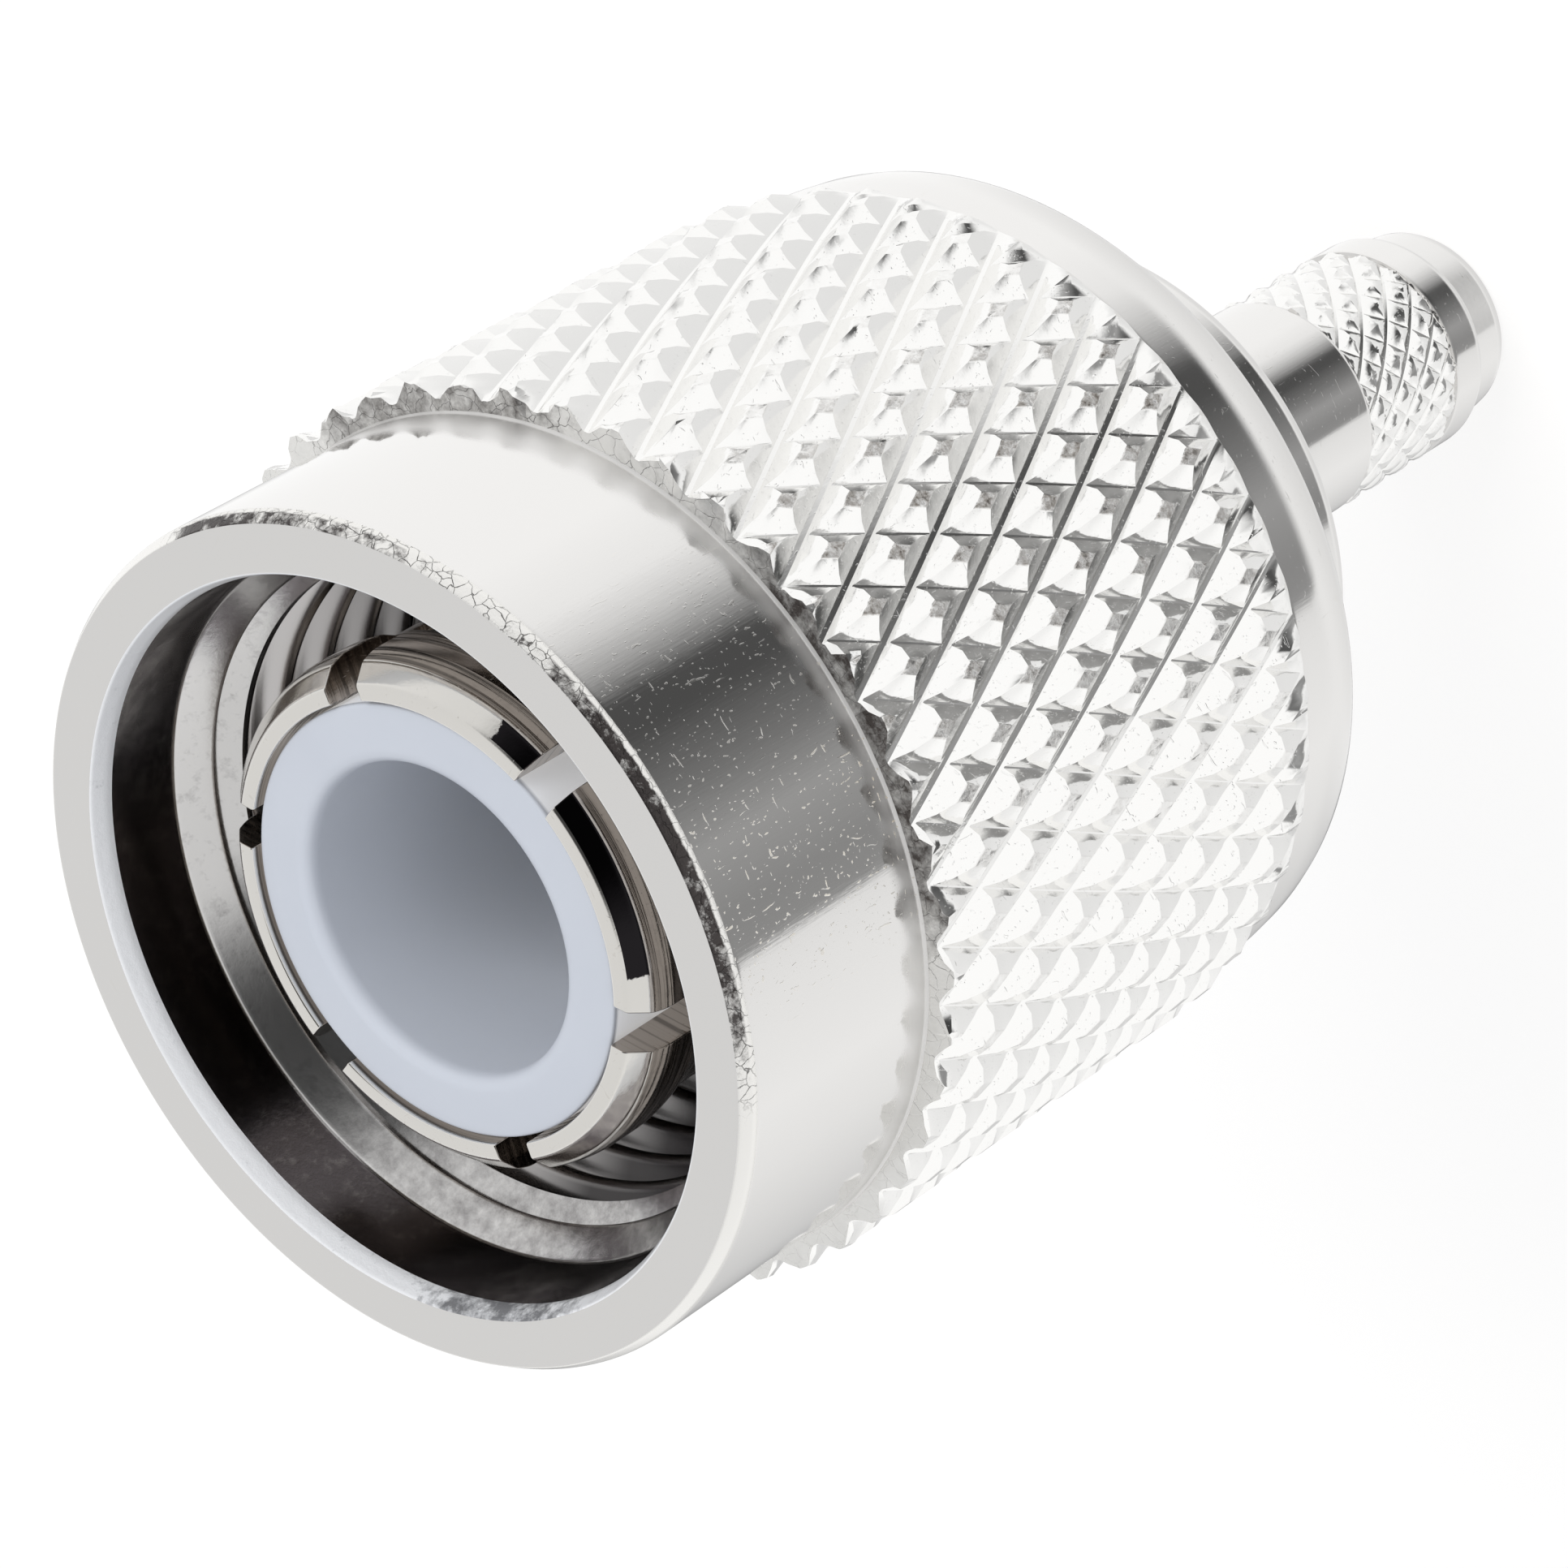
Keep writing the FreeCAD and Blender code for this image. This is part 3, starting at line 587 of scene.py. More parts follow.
# The white insulator's side, below its face, gets a painted glow.
white_plastic = plastic("white_insulator", (0.605, 0.63, 0.675), (0.565, 0.59, 0.64), rough=0.42, glow=0.12,
                        side=(3.38, (0.36, 0.355, 0.35), 1.13))
bead_plastic = plastic("bead_insulator", (0.86, 0.85, 0.82), (0.80, 0.79, 0.76), rough=0.45, glow=0.20)
seal_rubber = plastic("seal_rubber", (0.055, 0.052, 0.050), (0.035, 0.033, 0.032), rough=0.60, glow=0.0)
pin_gold = plated("gold_pin", (0.90, 0.66, 0.28), (0.75, 0.55, 0.25), rough=(0.18, 0.40), scratches=0.3,
                  specks=0.3)
spring_bronze = plated("spring_bronze", (0.62, 0.44, 0.27), (0.40, 0.28, 0.18), rough=(0.28, 0.50),
                       scratches=0.5, specks=0.4, bump=0.4)
print("all finishes", len(bpy.data.materials))

# %% [markdown]
# ## Turned shapes
#
# Nearly every piece here comes off a lathe, so its shape is an outline turned about the axis. Two things
# make a turned mesh look machined. Its corners have a small rounding that catches the light. And beside
# each rounding there is one extra ring, close to it, so that the shading of a long plain face stays flat
# up to its end. An outline is a list of corners: radius, height and rounding, in millimetres.

# %% Outlines and turned strips
ROUND_STEPS = 4
GUARD = 0.04
LONGEST_REACH = 0.42
GUARD_ROOM = 3


def softened(corners, closed=False):
    """Points of an outline whose corners are rounded, with a guard point beside each rounding."""
    points = []
    count = len(corners)
    for index, (r, z, rounding) in enumerate(corners):
        here = Vector((r, z))
        at_end = not closed and index in (0, count - 1)
        if at_end or rounding <= 0:
            points.append(here)
            continue
        to_last = Vector(corners[index - 1][:2]) - here
        to_next = Vector(corners[(index + 1) % count][:2]) - here
        last_reach = min(rounding, LONGEST_REACH * to_last.length)
        next_reach = min(rounding, LONGEST_REACH * to_next.length)
        start = here + to_last.normalized() * last_reach
        end = here + to_next.normalized() * next_reach
        if to_last.length > GUARD_ROOM * (last_reach + GUARD):
            points.append(here + to_last.normalized() * (last_reach + GUARD))
        for step in range(ROUND_STEPS + 1):
            t = step / ROUND_STEPS
            points.append(start * (1 - t) ** 2 + here * 2 * t * (1 - t) + end * t ** 2)
        if to_next.length > GUARD_ROOM * (next_reach + GUARD):
            points.append(here + to_next.normalized() * (next_reach + GUARD))
    return points


print("a rounding has", ROUND_STEPS, "steps and a guard ring", GUARD, "mm beside it")

# %% From a bmesh to a finished piece
SEAM = 0.0005 * MM
PLAIN_CREASE = math.radians(35)
FINE_CREASE = math.radians(25)


def placed(mesh, point, angle):
    """Add the vertex of an outline's point at an angle about the axis."""
    return mesh.verts.new((point.x * MM * math.cos(angle), point.x * MM * math.sin(angle), point.y * MM))


def turn_strip(mesh, points, columns, closed=False):
    """Add a turned strip to a bmesh and return its rings of vertices."""
    angles = [2 * math.pi * column / columns for column in range(columns)]
    rings = [[placed(mesh, point, angle) for angle in angles] for point in points]
    pairs = list(zip(rings, rings[1:] + rings[:1])) if closed else list(zip(rings, rings[1:]))
    for low, high in pairs:
        for column in range(columns):
            after = (column + 1) % columns
            mesh.faces.new((low[column], low[after], high[after], high[column]))
    return rings


def finished(name, mesh, materials, finish_of=None, sharp=PLAIN_CREASE):
    """Close up a bmesh, point its faces outwards and make it an object with its finishes."""
    bmesh.ops.remove_doubles(mesh, verts=mesh.verts, dist=SEAM)
    bmesh.ops.recalc_face_normals(mesh, faces=mesh.faces)
    for face in mesh.faces:
        face.smooth = True
        if finish_of:
            centre = face.calc_center_median() / MM
            face.material_index = finish_of(math.hypot(centre.x, centre.y), centre.z, face)
    for edge in mesh.edges:
        if len(edge.link_faces) == 2 and edge.calc_face_angle(0.0) > sharp:
            edge.smooth = False
    open_edges = sum(1 for edge in mesh.edges if len(edge.link_faces) != 2)
    data = bpy.data.meshes.new(name)
    mesh.to_mesh(data)
    mesh.free()
    for material in materials:
        data.materials.append(material)
    piece = bpy.data.objects.new(name, data)
    bpy.context.scene.collection.objects.link(piece)
    triangles = sum(len(polygon.vertices) - 2 for polygon in data.polygons)
    print(name, "triangles", triangles, "open edges", open_edges)
    return piece


print("edges sharper than", round(math.degrees(PLAIN_CREASE)), "degrees stay sharp")


# %% [markdown]
# ## A knurl from one stud
#
# A diamond knurl is rolled: two sets of grooves cross and leave rows of four-sided studs, set half a
# step apart from row to row. So the knurl follows a rule, and Geometry Nodes can lay it out. One stud is
# drawn flat, on a diamond that reaches from -1 to 1 both ways. Copies of it are placed as points of an
# unrolled sheet, the sheet is wrapped round the axis, and its seams are merged. A roller also tears the
# tops of the studs a little, so the tops get a small random push with a fixed seed. The rows at the two
# ends are cut in half, as the turning tool leaves them.

# %% One stud
# A stud seen from above, measured across the two families of grooves. The first family is rolled deeper.
GROOVE = 0.92
CROSS_GROOVE = 0.97
CROSS_FLOOR = 0.13
LAND = 0.22
CROSS_LAND = 0.27
SIDE_BULGE = 0.10
SIDE_STEPS = 4
FOOT = GROOVE - CROSS_FLOOR * (GROOVE - LAND)


def stud_ring(reach, cross_reach, bulge, height):
    """A closed ring of points on a stud: two sides straight, two bulging at their ends."""
    ring = []
    for side, sign in ((0, 1), (1, 1), (0, -1), (1, -1)):
        for step in range(SIDE_STEPS):
            t = 1 - 2 * step / SIDE_STEPS
            if side == 0:
                ring.append((sign * reach, sign * (cross_reach + bulge) * t, height))
            else:
                ring.append((sign * reach * t, -sign * (cross_reach + bulge * t * t), height))
    return ring


def stud_faces():
    """All faces of a stud as lists of (across, across the second family, height)."""
    rings = [stud_ring(FOOT, CROSS_GROOVE, 0.0, CROSS_FLOOR),
             stud_ring((FOOT + LAND) / 2, (CROSS_GROOVE + CROSS_LAND) / 2, SIDE_BULGE,
                       (1 + CROSS_FLOOR) / 2),
             stud_ring(LAND, CROSS_LAND, 0.0, 1.0)]
    count = len(rings[0])
    for low, high in zip(rings, rings[1:]):
        for index in range(count):
            after = (index + 1) % count
            yield [low[index], low[after], high[after], high[index]]
    for index in range(count):
        yield [rings[-1][index], rings[-1][(index + 1) % count], (0.0, 0.0, 1.0)]
    inner = [-1 + 2 * step / SIDE_STEPS for step in range(SIDE_STEPS + 1)]
    across = [(-1, 0), (-GROOVE, 0)] + [(FOOT * t, CROSS_FLOOR) for t in inner] + [(GROOVE, 0), (1, 0)]
    along = [-1] + [CROSS_GROOVE * t for t in inner] + [1]
    for row, (low, high) in enumerate(zip(along, along[1:])):
        for column, ((left, left_height), (right, right_height)) in enumerate(zip(across, across[1:])):
            if 0 < row < len(along) - 2 and 1 < column < len(across) - 3:
                continue
            yield [(left, low, left_height), (right, low, right_height), (right, high, right_height),
                   (left, high, left_height)]


print("a stud has", len(list(stud_faces())), "faces")

# %% Whole and half studs
STUD_WELD = 1e-5
CUT_WELD = 1e-6


def stud_template(part):
    """A whole stud, or its upper or lower half, drawn flat with a height from 0 to 1."""
    mesh = bmesh.new()
    for corners in stud_faces():
        mesh.faces.new([mesh.verts.new(((a - b) / 2, (a + b) / 2, height)) for a, b, height in corners])
    bmesh.ops.remove_doubles(mesh, verts=mesh.verts, dist=STUD_WELD)
    if part != "whole":
        away = (0.0, -1.0, 0.0) if part == "upper" else (0.0, 1.0, 0.0)
        bmesh.ops.bisect_plane(mesh, geom=mesh.verts[:] + mesh.edges[:] + mesh.faces[:], dist=CUT_WELD,
                               plane_co=(0.0, 0.0, 0.0), plane_no=away, clear_outer=True)
    data = bpy.data.meshes.new("stud_" + part)
    mesh.to_mesh(data)
    mesh.free()
    stud = bpy.data.objects.new("stud_" + part, data)
    bpy.context.scene.collection.objects.link(stud)
    return stud


studs = {part: stud_template(part) for part in ("whole", "upper", "lower")}
print("faces of the studs", {part: len(stud.data.polygons) for part, stud in studs.items()})


# %% Wrap and close a sheet
WELD = 1e-6


def wrapped(tree, position, radius):
    """Bend an unrolled sheet round the axis: X is the angle, Y the height, Z stands out."""
    parts = add(tree, "ShaderNodeSeparateXYZ", {0: position}).outputs
    reach = calc(tree, "ADD", parts[2], radius)
    across = calc(tree, "MULTIPLY", reach, calc(tree, "COSINE", parts[0]))
    along = calc(tree, "MULTIPLY", reach, calc(tree, "SINE", parts[0]))
    return add(tree, "ShaderNodeCombineXYZ", {0: across, 1: along, 2: parts[1]}).outputs[0]


def closed_sheet(tree, sheet, finish):
    """End a sheet's tree: merge its seams and give it its finish."""
    sheet = add(tree, "GeometryNodeMergeByDistance", {"Geometry": sheet, "Distance": WELD}).outputs[0]
    sheet = add(tree, "GeometryNodeSetMaterial", {"Geometry": sheet, "Material": finish}).outputs[0]
    add(tree, "NodeGroupOutput", {0: sheet})


print("seams of a sheet are merged within", WELD / MM, "mm")


# %% Sheet of studs
def stud_sheet(tree, given):
    """The unrolled sheet of studs: whole ones, and half ones along the two ends."""
    half_step = calc(tree, "DIVIDE", math.pi, given["Count"])
    total = calc(tree, "MULTIPLY", given["Count"], calc(tree, "ADD", given["Rows"], 1.0))
    index = add(tree, "GeometryNodeInputIndex").outputs[0]
    level = calc(tree, "FLOOR", calc(tree, "DIVIDE", index, given["Count"]))
    shifted = calc(tree, "MODULO", calc(tree, "SUBTRACT", given["Rows"], level), 2.0)
    turn = calc(tree, "MULTIPLY", calc(tree, "MODULO", index, given["Count"]), 2.0)
    turn = calc(tree, "ADD", calc(tree, "ADD", turn, shifted), 1.0)
    place = add(tree, "ShaderNodeCombineXYZ", {
        0: calc(tree, "MULTIPLY", turn, half_step),
        1: calc(tree, "MULTIPLY_ADD", level, given["Pitch"], given["Bottom"])}).outputs[0]
    points = add(tree, "GeometryNodePoints", {"Count": total, "Position": place}).outputs[0]
    scale = add(tree, "ShaderNodeCombineXYZ",
                {0: half_step, 1: given["Pitch"], 2: given["Rise"]}).outputs[0]

    at_bottom = calc(tree, "COMPARE", level, 0.0, 0.5)
    at_top = calc(tree, "COMPARE", level, given["Rows"], 0.5)
    inside = calc(tree, "SUBTRACT", calc(tree, "SUBTRACT", 1.0, at_bottom), at_top)
    join = add(tree, "GeometryNodeJoinGeometry")
    for part, chosen in (("whole", inside), ("upper", at_bottom), ("lower", at_top)):
        stud = add(tree, "GeometryNodeObjectInfo", {"Object": studs[part]}).outputs["Geometry"]
        copies = add(tree, "GeometryNodeInstanceOnPoints",
                     {"Points": points, "Selection": chosen, "Instance": stud, "Scale": scale})
        tree.links.new(copies.outputs[0], join.inputs[0])
    return add(tree, "GeometryNodeRealizeInstances", {0: join.outputs[0]}).outputs[0]


print("half studs at the ends", studs["upper"].name, studs["lower"].name)

# %% Torn tops and a ragged rim
LAND_BAND = (0.80, 0.98)
RIM_REACH = 0.22
RIM_BAND = (0.05, 0.3)
TEAR_SCALE = 5500.0
TEAR_MIDDLE = 0.72
TEAR_GAIN = 4.0


def tears(tree, given, position):
    """Offset of the torn tops of the studs and of the ragged upper rim."""
    flat = vector_calc(tree, "MULTIPLY", position, FLATTEN)
    rise = calc(tree, "SUBTRACT", vector_calc(tree, "LENGTH", flat), given["Root Radius"])
    high = calc(tree, "DIVIDE", rise, given["Rise"])
    push = calc(tree, "MULTIPLY", mapped(tree, high, *LAND_BAND), given["Tear"])
    end = calc(tree, "MULTIPLY_ADD", given["Rows"], given["Pitch"], given["Bottom"])
    rim = mapped(tree, calc(tree, "SUBTRACT", end, level_of(tree, position)), RIM_REACH * MM, 0.0)
    ragged = calc(tree, "MULTIPLY", given["Ragged"], mapped(tree, high, *RIM_BAND))
    push = calc(tree, "MAXIMUM", push, calc(tree, "MULTIPLY", rim, ragged))
    noise = add(tree, "ShaderNodeTexNoise", {"Vector": position, "W": given["Seed"], "Scale": TEAR_SCALE,
                                             "Detail": 2.0}, noise_dimensions="4D").outputs
    lift = calc(tree, "MULTIPLY", calc(tree, "SUBTRACT", noise[0], TEAR_MIDDLE), TEAR_GAIN)
    up = vector_calc(tree, "SCALE", vector_calc(tree, "NORMALIZE", flat),
                     scale=calc(tree, "MULTIPLY", lift, push))
    side = vector_calc(tree, "SCALE", vector_calc(tree, "SUBTRACT", noise[1], MIDDLE_GREY),
                       scale=calc(tree, "MULTIPLY", push, TEAR_GAIN))
    return vector_calc(tree, "ADD", up, side)


print("the rim is ragged over", RIM_REACH, "mm")

# %% Tree of the knurl
END_RISE = 0.12


def knurl_tree():
    """Geometry Nodes tree of a wrapped diamond knurl."""
    tree = bpy.data.node_groups.new("diamond_knurl", "GeometryNodeTree")
    sockets(tree, {"Geometry": ("Geometry",), "Int": ("Count", "Rows"), "Material": ("Finish",),
                   "Float": ("Pitch", "Bottom", "Root Radius", "Rise", "Tear", "Ragged", "Fade", "Seed")},
            {"Geometry": ("Geometry",)})
    given = add(tree, "NodeGroupInput").outputs
    sheet = stud_sheet(tree, given)
    position = add(tree, "GeometryNodeInputPosition").outputs[0]
    flat = add(tree, "ShaderNodeSeparateXYZ", {0: position}).outputs
    above = calc(tree, "SUBTRACT", flat[1], given["Bottom"])
    rise = calc(tree, "MULTIPLY", flat[2], mapped(tree, above, 0.0, given["Fade"], END_RISE, 1.0))
    faded = add(tree, "ShaderNodeCombineXYZ", {0: flat[0], 1: flat[1], 2: rise}).outputs[0]
    sheet = add(tree, "GeometryNodeSetPosition",
                {"Geometry": sheet, "Position": wrapped(tree, faded, given["Root Radius"])}).outputs[0]
    sheet = add(tree, "GeometryNodeSetPosition",
                {"Geometry": sheet, "Offset": tears(tree, given, position)}).outputs[0]
    closed_sheet(tree, sheet, given["Finish"])
    return tree


knurl = knurl_tree()
print("tree", knurl.name, "with", len(knurl.nodes), "nodes")


# %% Run a tree
def made_by(tree, name, values):
    """Run a geometry tree with the given named inputs and return the plain mesh that it makes."""
    holder = bpy.data.objects.new(name, bpy.data.meshes.new(name))
    bpy.context.scene.collection.objects.link(holder)
    modifier = holder.modifiers.new(name, "NODES")
    modifier.node_group = tree
    idents = {item.name: item.identifier for item in tree.interface.items_tree if item.in_out == "INPUT"}
    for key, value in values.items():
        modifier[idents[key]] = value
    depsgraph = bpy.context.evaluated_depsgraph_get()
    plain = bpy.data.meshes.new_from_object(holder.evaluated_get(depsgraph))
    bpy.data.objects.remove(holder)
    print(name, "faces", len(plain.polygons))
    return plain


print("meshes come from", made_by.__name__)

# %% [markdown]
# ## An internal thread
#
# The nut's thread is a groove that climbs as it goes round: the height of a point on the wall depends
# only on its angle and its height, so a plain grid is enough. The tree bends a grid round the axis and
# pushes it outwards by a wave whose phase runs with the height and falls with the angle, which makes the
# thread right-handed. The wave fades out at both ends, as a tap leaves it.


# %% Tree of the thread
def thread_tree():
    """Geometry Nodes tree of an internal thread on a wrapped grid."""
    tree = bpy.data.node_groups.new("internal_thread", "GeometryNodeTree")
    sockets(tree, {"Geometry": ("Geometry",), "Int": ("Columns", "Rows"), "Material": ("Finish",),
                   "Float": ("Length", "Bottom", "Crest Radius", "Depth", "Pitch", "Fade")},
            {"Geometry": ("Geometry",)})
    given = add(tree, "NodeGroupInput").outputs
    grid = add(tree, "GeometryNodeMeshGrid", {
        "Size X": 2 * math.pi, "Size Y": given["Length"],
        "Vertices X": calc(tree, "ADD", given["Columns"], 1.0),
        "Vertices Y": calc(tree, "ADD", given["Rows"], 1.0)}).outputs[0]
    position = add(tree, "GeometryNodeInputPosition").outputs[0]
    flat = add(tree, "ShaderNodeSeparateXYZ", {0: position}).outputs
    angle = calc(tree, "ADD", flat[0], math.pi)
    above = calc(tree, "MULTIPLY_ADD", given["Length"], 0.5, flat[1])
    to_top = calc(tree, "SUBTRACT", given["Length"], above)
    turns = calc(tree, "DIVIDE", angle, -2 * math.pi)
    phase = calc(tree, "ADD", calc(tree, "DIVIDE", above, given["Pitch"]), turns)
    groove = mapped(tree, calc(tree, "PINGPONG", phase, 0.5), 0.0, 0.5, interpolation_type="SMOOTHSTEP")
    fade = mapped(tree, calc(tree, "MINIMUM", above, to_top), 0.0, given["Fade"])
    deep = calc(tree, "MULTIPLY", calc(tree, "MULTIPLY", groove, fade), given["Depth"])
    height = calc(tree, "ADD", above, given["Bottom"])
    unrolled = add(tree, "ShaderNodeCombineXYZ", {0: angle, 1: height, 2: deep}).outputs[0]
    sheet = add(tree, "GeometryNodeSetPosition",
                {"Geometry": grid, "Position": wrapped(tree, unrolled, given["Crest Radius"])}).outputs[0]
    closed_sheet(tree, sheet, given["Finish"])
    return tree


thread = thread_tree()
print("tree", thread.name, "with", len(thread.nodes), "nodes")

# %% Join a knurled sheet to a turned strip
RIM_TOLERANCE = 0.2 * MM


def turn_of(vert):
    """Angle of a vertex about the axis, from 0 to a full turn."""
    return math.atan2(vert.co.y, vert.co.x) % (2 * math.pi)


def rim_of(mesh, height):
    """The open edge of a sheet near a height, walked round from the vertex with the smallest angle."""
    links = {}
    for edge in mesh.edges:
        first, second = edge.verts
        near = max(abs(first.co.z - height), abs(second.co.z - height)) < RIM_TOLERANCE
        if near and len(edge.link_faces) == 1:
            links.setdefault(first, []).append(second)
            links.setdefault(second, []).append(first)
    start = min(links, key=turn_of)
    rim = [start, min(links[start], key=turn_of)]
    while True:
        onward = [vert for vert in links[rim[-1]] if vert is not rim[-2]]
        if not onward or onward[0] is start:
            return rim
        rim.append(onward[0])


def stitched(mesh, ring, rim):
    """Fill the gap between two closed loops of vertices that both start near angle 0."""
    def turn(loop, index):
        return turn_of(loop[index % len(loop)]) + 2 * math.pi * (index // len(loop))

    i = j = 0
    while i < len(ring) or j < len(rim):
        here, there = ring[i % len(ring)], rim[j % len(rim)]
        if j >= len(rim) or (i < len(ring) and turn(ring, i + 1) <= turn(rim, j + 1)):
            i += 1
            mesh.faces.new((here, ring[i % len(ring)], there))
        else:
            j += 1
            mesh.faces.new((here, rim[j % len(rim)], there))


print("rims are looked for within", RIM_TOLERANCE / MM, "mm of their height")

# %% [markdown]
# ## The coupling nut
#
# The nut is one turned piece: a plain nose with a bevelled rim, the knurl, a plain collar, and inside it
# a counterbore, the thread, a relief and the bore that runs on the hub. Two turned strips make the plain
# parts, the knurl and the thread come from their trees, and everything is joined into one closed skin.

# %% Sizes of the nut
NOSE_LENGTH = 3.99
KNURL_LENGTH = 8.955
KNURL_COUNT = 46
KNURL_ROWS = 9
MOUTH_RADIUS = 5.80
WALL_RADIUS = 5.71
MOUTH_DEPTH = 1.62
THREAD_START = 2.50
THREAD_END = 7.20
THREAD_DEPTH = 0.48
THREAD_PITCH = 0.907
RELIEF_RADIUS = 5.60
RELIEF_END = 8.40
BORE_RADIUS = 4.95
GROOVE_RADIUS = 5.45
GROOVE_DEPTHS = (11.45, 12.35)
COLLAR_FRONT_RADIUS = 6.91
COLLAR_REAR_RADIUS = 6.80
NUT_COLUMNS = 230


def below(depth):
    """Height of a level that lies a depth below the nut's front face."""
    return FRONT - depth


knurl_front = below(NOSE_LENGTH)
knurl_rear = below(NOSE_LENGTH + KNURL_LENGTH)
print("knurl from", round(knurl_rear, 3), "to", round(knurl_front, 3), "mm")

# %% Outlines of the nut
front_strip = [
    (CREST_RADIUS, below(THREAD_START), 0),
    (5.46, below(2.20), 0.02),
    (5.29, below(2.12), 0.03),
    (WALL_RADIUS - 0.02, below(MOUTH_DEPTH), 0.05),
    (WALL_RADIUS, below(0.25), 0.07),
    (MOUTH_RADIUS, below(0.0), 0.04),
    (NOSE_RADIUS - 0.13, below(0.0), 0.02),
    (NOSE_RADIUS, below(0.21), 0.07),
    (NOSE_RADIUS, below(NOSE_LENGTH - 0.05), 0.02),
    (NOSE_RADIUS + 0.035, below(NOSE_LENGTH), 0),
]
rear_strip = [
    (COLLAR_FRONT_RADIUS - 0.01, knurl_rear, 0),
    (COLLAR_FRONT_RADIUS, below(NOSE_LENGTH + KNURL_LENGTH + 0.04), 0.03),
    (COLLAR_FRONT_RADIUS, below(13.62), 0.20),
    (COLLAR_REAR_RADIUS, NUT_REAR, 0.42),
    (BORE_RADIUS, NUT_REAR, 0.06),
    (BORE_RADIUS, below(GROOVE_DEPTHS[1]), 0),
    (GROOVE_RADIUS, below(GROOVE_DEPTHS[1]), 0),
    (GROOVE_RADIUS, below(GROOVE_DEPTHS[0]), 0),
    (BORE_RADIUS, below(GROOVE_DEPTHS[0]), 0),
    (BORE_RADIUS, below(RELIEF_END), 0.05),
    (RELIEF_RADIUS, below(RELIEF_END), 0.10),
    (RELIEF_RADIUS, below(THREAD_END), 0.10),
    (CREST_RADIUS, below(THREAD_END), 0),
]
print("outlines of", len(front_strip), "and", len(rear_strip), "corners")

# %% Finishes of the nut
NUT_FINISHES = [nickel, knurl_nickel, bore_nickel, edge_crust, shoulder_crust, wall_nickel, mouth_crust,
                plain_nickel, thread_nickel, ring_nickel]
NOSE, KNURL, BORE, EDGE, SHOULDER, WALL, MOUTH, COLLAR, THREAD, RING = range(len(NUT_FINISHES))
FAR = math.inf
# The first zone that holds a face gives its finish: least and greatest radius, least and greatest depth.
NUT_ZONES = (
    (SHOULDER, NOSE_RADIUS + 0.025, FAR, NOSE_LENGTH - 0.04, NOSE_LENGTH + 0.04),
    (EDGE, NOSE_RADIUS - 0.14, FAR, -FAR, 0.24),
    (MOUTH, WALL_RADIUS - 0.01, MOUTH_RADIUS + 0.02, -FAR, 0.36),
    (WALL, WALL_RADIUS - 0.03, MOUTH_RADIUS, -FAR, MOUTH_DEPTH - 0.02),
    (RING, 0.0, MOUTH_RADIUS, MOUTH_DEPTH, THREAD_START),
    (BORE, 0.0, MOUTH_RADIUS, -FAR, FAR),
    (NOSE, 0.0, FAR, 0.1, NOSE_LENGTH),
    (COLLAR, 0.0, FAR, -FAR, FAR),
)


def nut_finish(radius, height, face):
    """Which finish a face of the nut has: the knurl's or thread's own, or that of its zone."""
    if face.material_index in (KNURL, THREAD):
        return face.material_index
    depth = FRONT - height
    for finish, inner, outer, front, rear in NUT_ZONES:
        if inner < radius < outer and front < depth < rear:
            return finish


print("finishes of the nut", len(NUT_FINISHES), "zones", len(NUT_ZONES))

# %% Build the nut
STUD_TEAR = 0.012
TEAR_SEED = 3.0
RIM_RAGGED = 0.06
KNURL_FADE = 0.42
THREAD_ROWS = 120
THREAD_FADE = 0.35


def knurl_mesh(name, count, rows, length, bottom, root, rise, tear, ragged, fade):
    """A knurled sheet from its tree, with its sizes in millimetres."""
    return made_by(knurl, name, {
        "Count": count, "Rows": rows, "Pitch": length / rows * MM, "Bottom": bottom * MM,
        "Root Radius": root * MM, "Rise": rise * MM, "Tear": tear * MM, "Ragged": ragged * MM,
        "Fade": fade * MM, "Seed": TEAR_SEED, "Finish": knurl_nickel})


nut_mesh = bmesh.new()
nut_mesh.from_mesh(knurl_mesh("nut_knurl", KNURL_COUNT, KNURL_ROWS, KNURL_LENGTH, knurl_rear, ROOT_RADIUS,
                              STUD_RISE, STUD_TEAR, RIM_RAGGED, KNURL_FADE))
for face in nut_mesh.faces:
    face.material_index = KNURL
front_rim, rear_rim = (rim_of(nut_mesh, level * MM) for level in (knurl_front, knurl_rear))
stitched(nut_mesh, turn_strip(nut_mesh, softened(front_strip), NUT_COLUMNS)[-1], front_rim)
stitched(nut_mesh, turn_strip(nut_mesh, softened(rear_strip), NUT_COLUMNS)[0], rear_rim)
plain_faces = set(nut_mesh.faces)
nut_mesh.from_mesh(made_by(thread, "nut_thread", {
    "Columns": NUT_COLUMNS, "Rows": THREAD_ROWS, "Length": (THREAD_END - THREAD_START) * MM,
    "Bottom": below(THREAD_END) * MM, "Crest Radius": CREST_RADIUS * MM, "Depth": THREAD_DEPTH * MM,
    "Pitch": THREAD_PITCH * MM, "Fade": THREAD_FADE * MM, "Finish": thread_nickel}))
for face in nut_mesh.faces:
    if face not in plain_faces:
        face.material_index = THREAD
nut = finished("nut", nut_mesh, NUT_FINISHES, nut_finish, FINE_CREASE)
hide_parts("coupling_nut")
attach(nut, "nut")

# %% [markdown]
# ## The body
#
# Behind the nut the hub's rim shows, and then the stem that the cable's braid goes over. The stem has a
# narrow knurled band that grips the braid, made by the same tree as the nut's knurl with other numbers,
# and a shouldered tip. One strip goes from the top of the band up over the hub, down through the bore
# and back up over the tip to the band's lower edge.

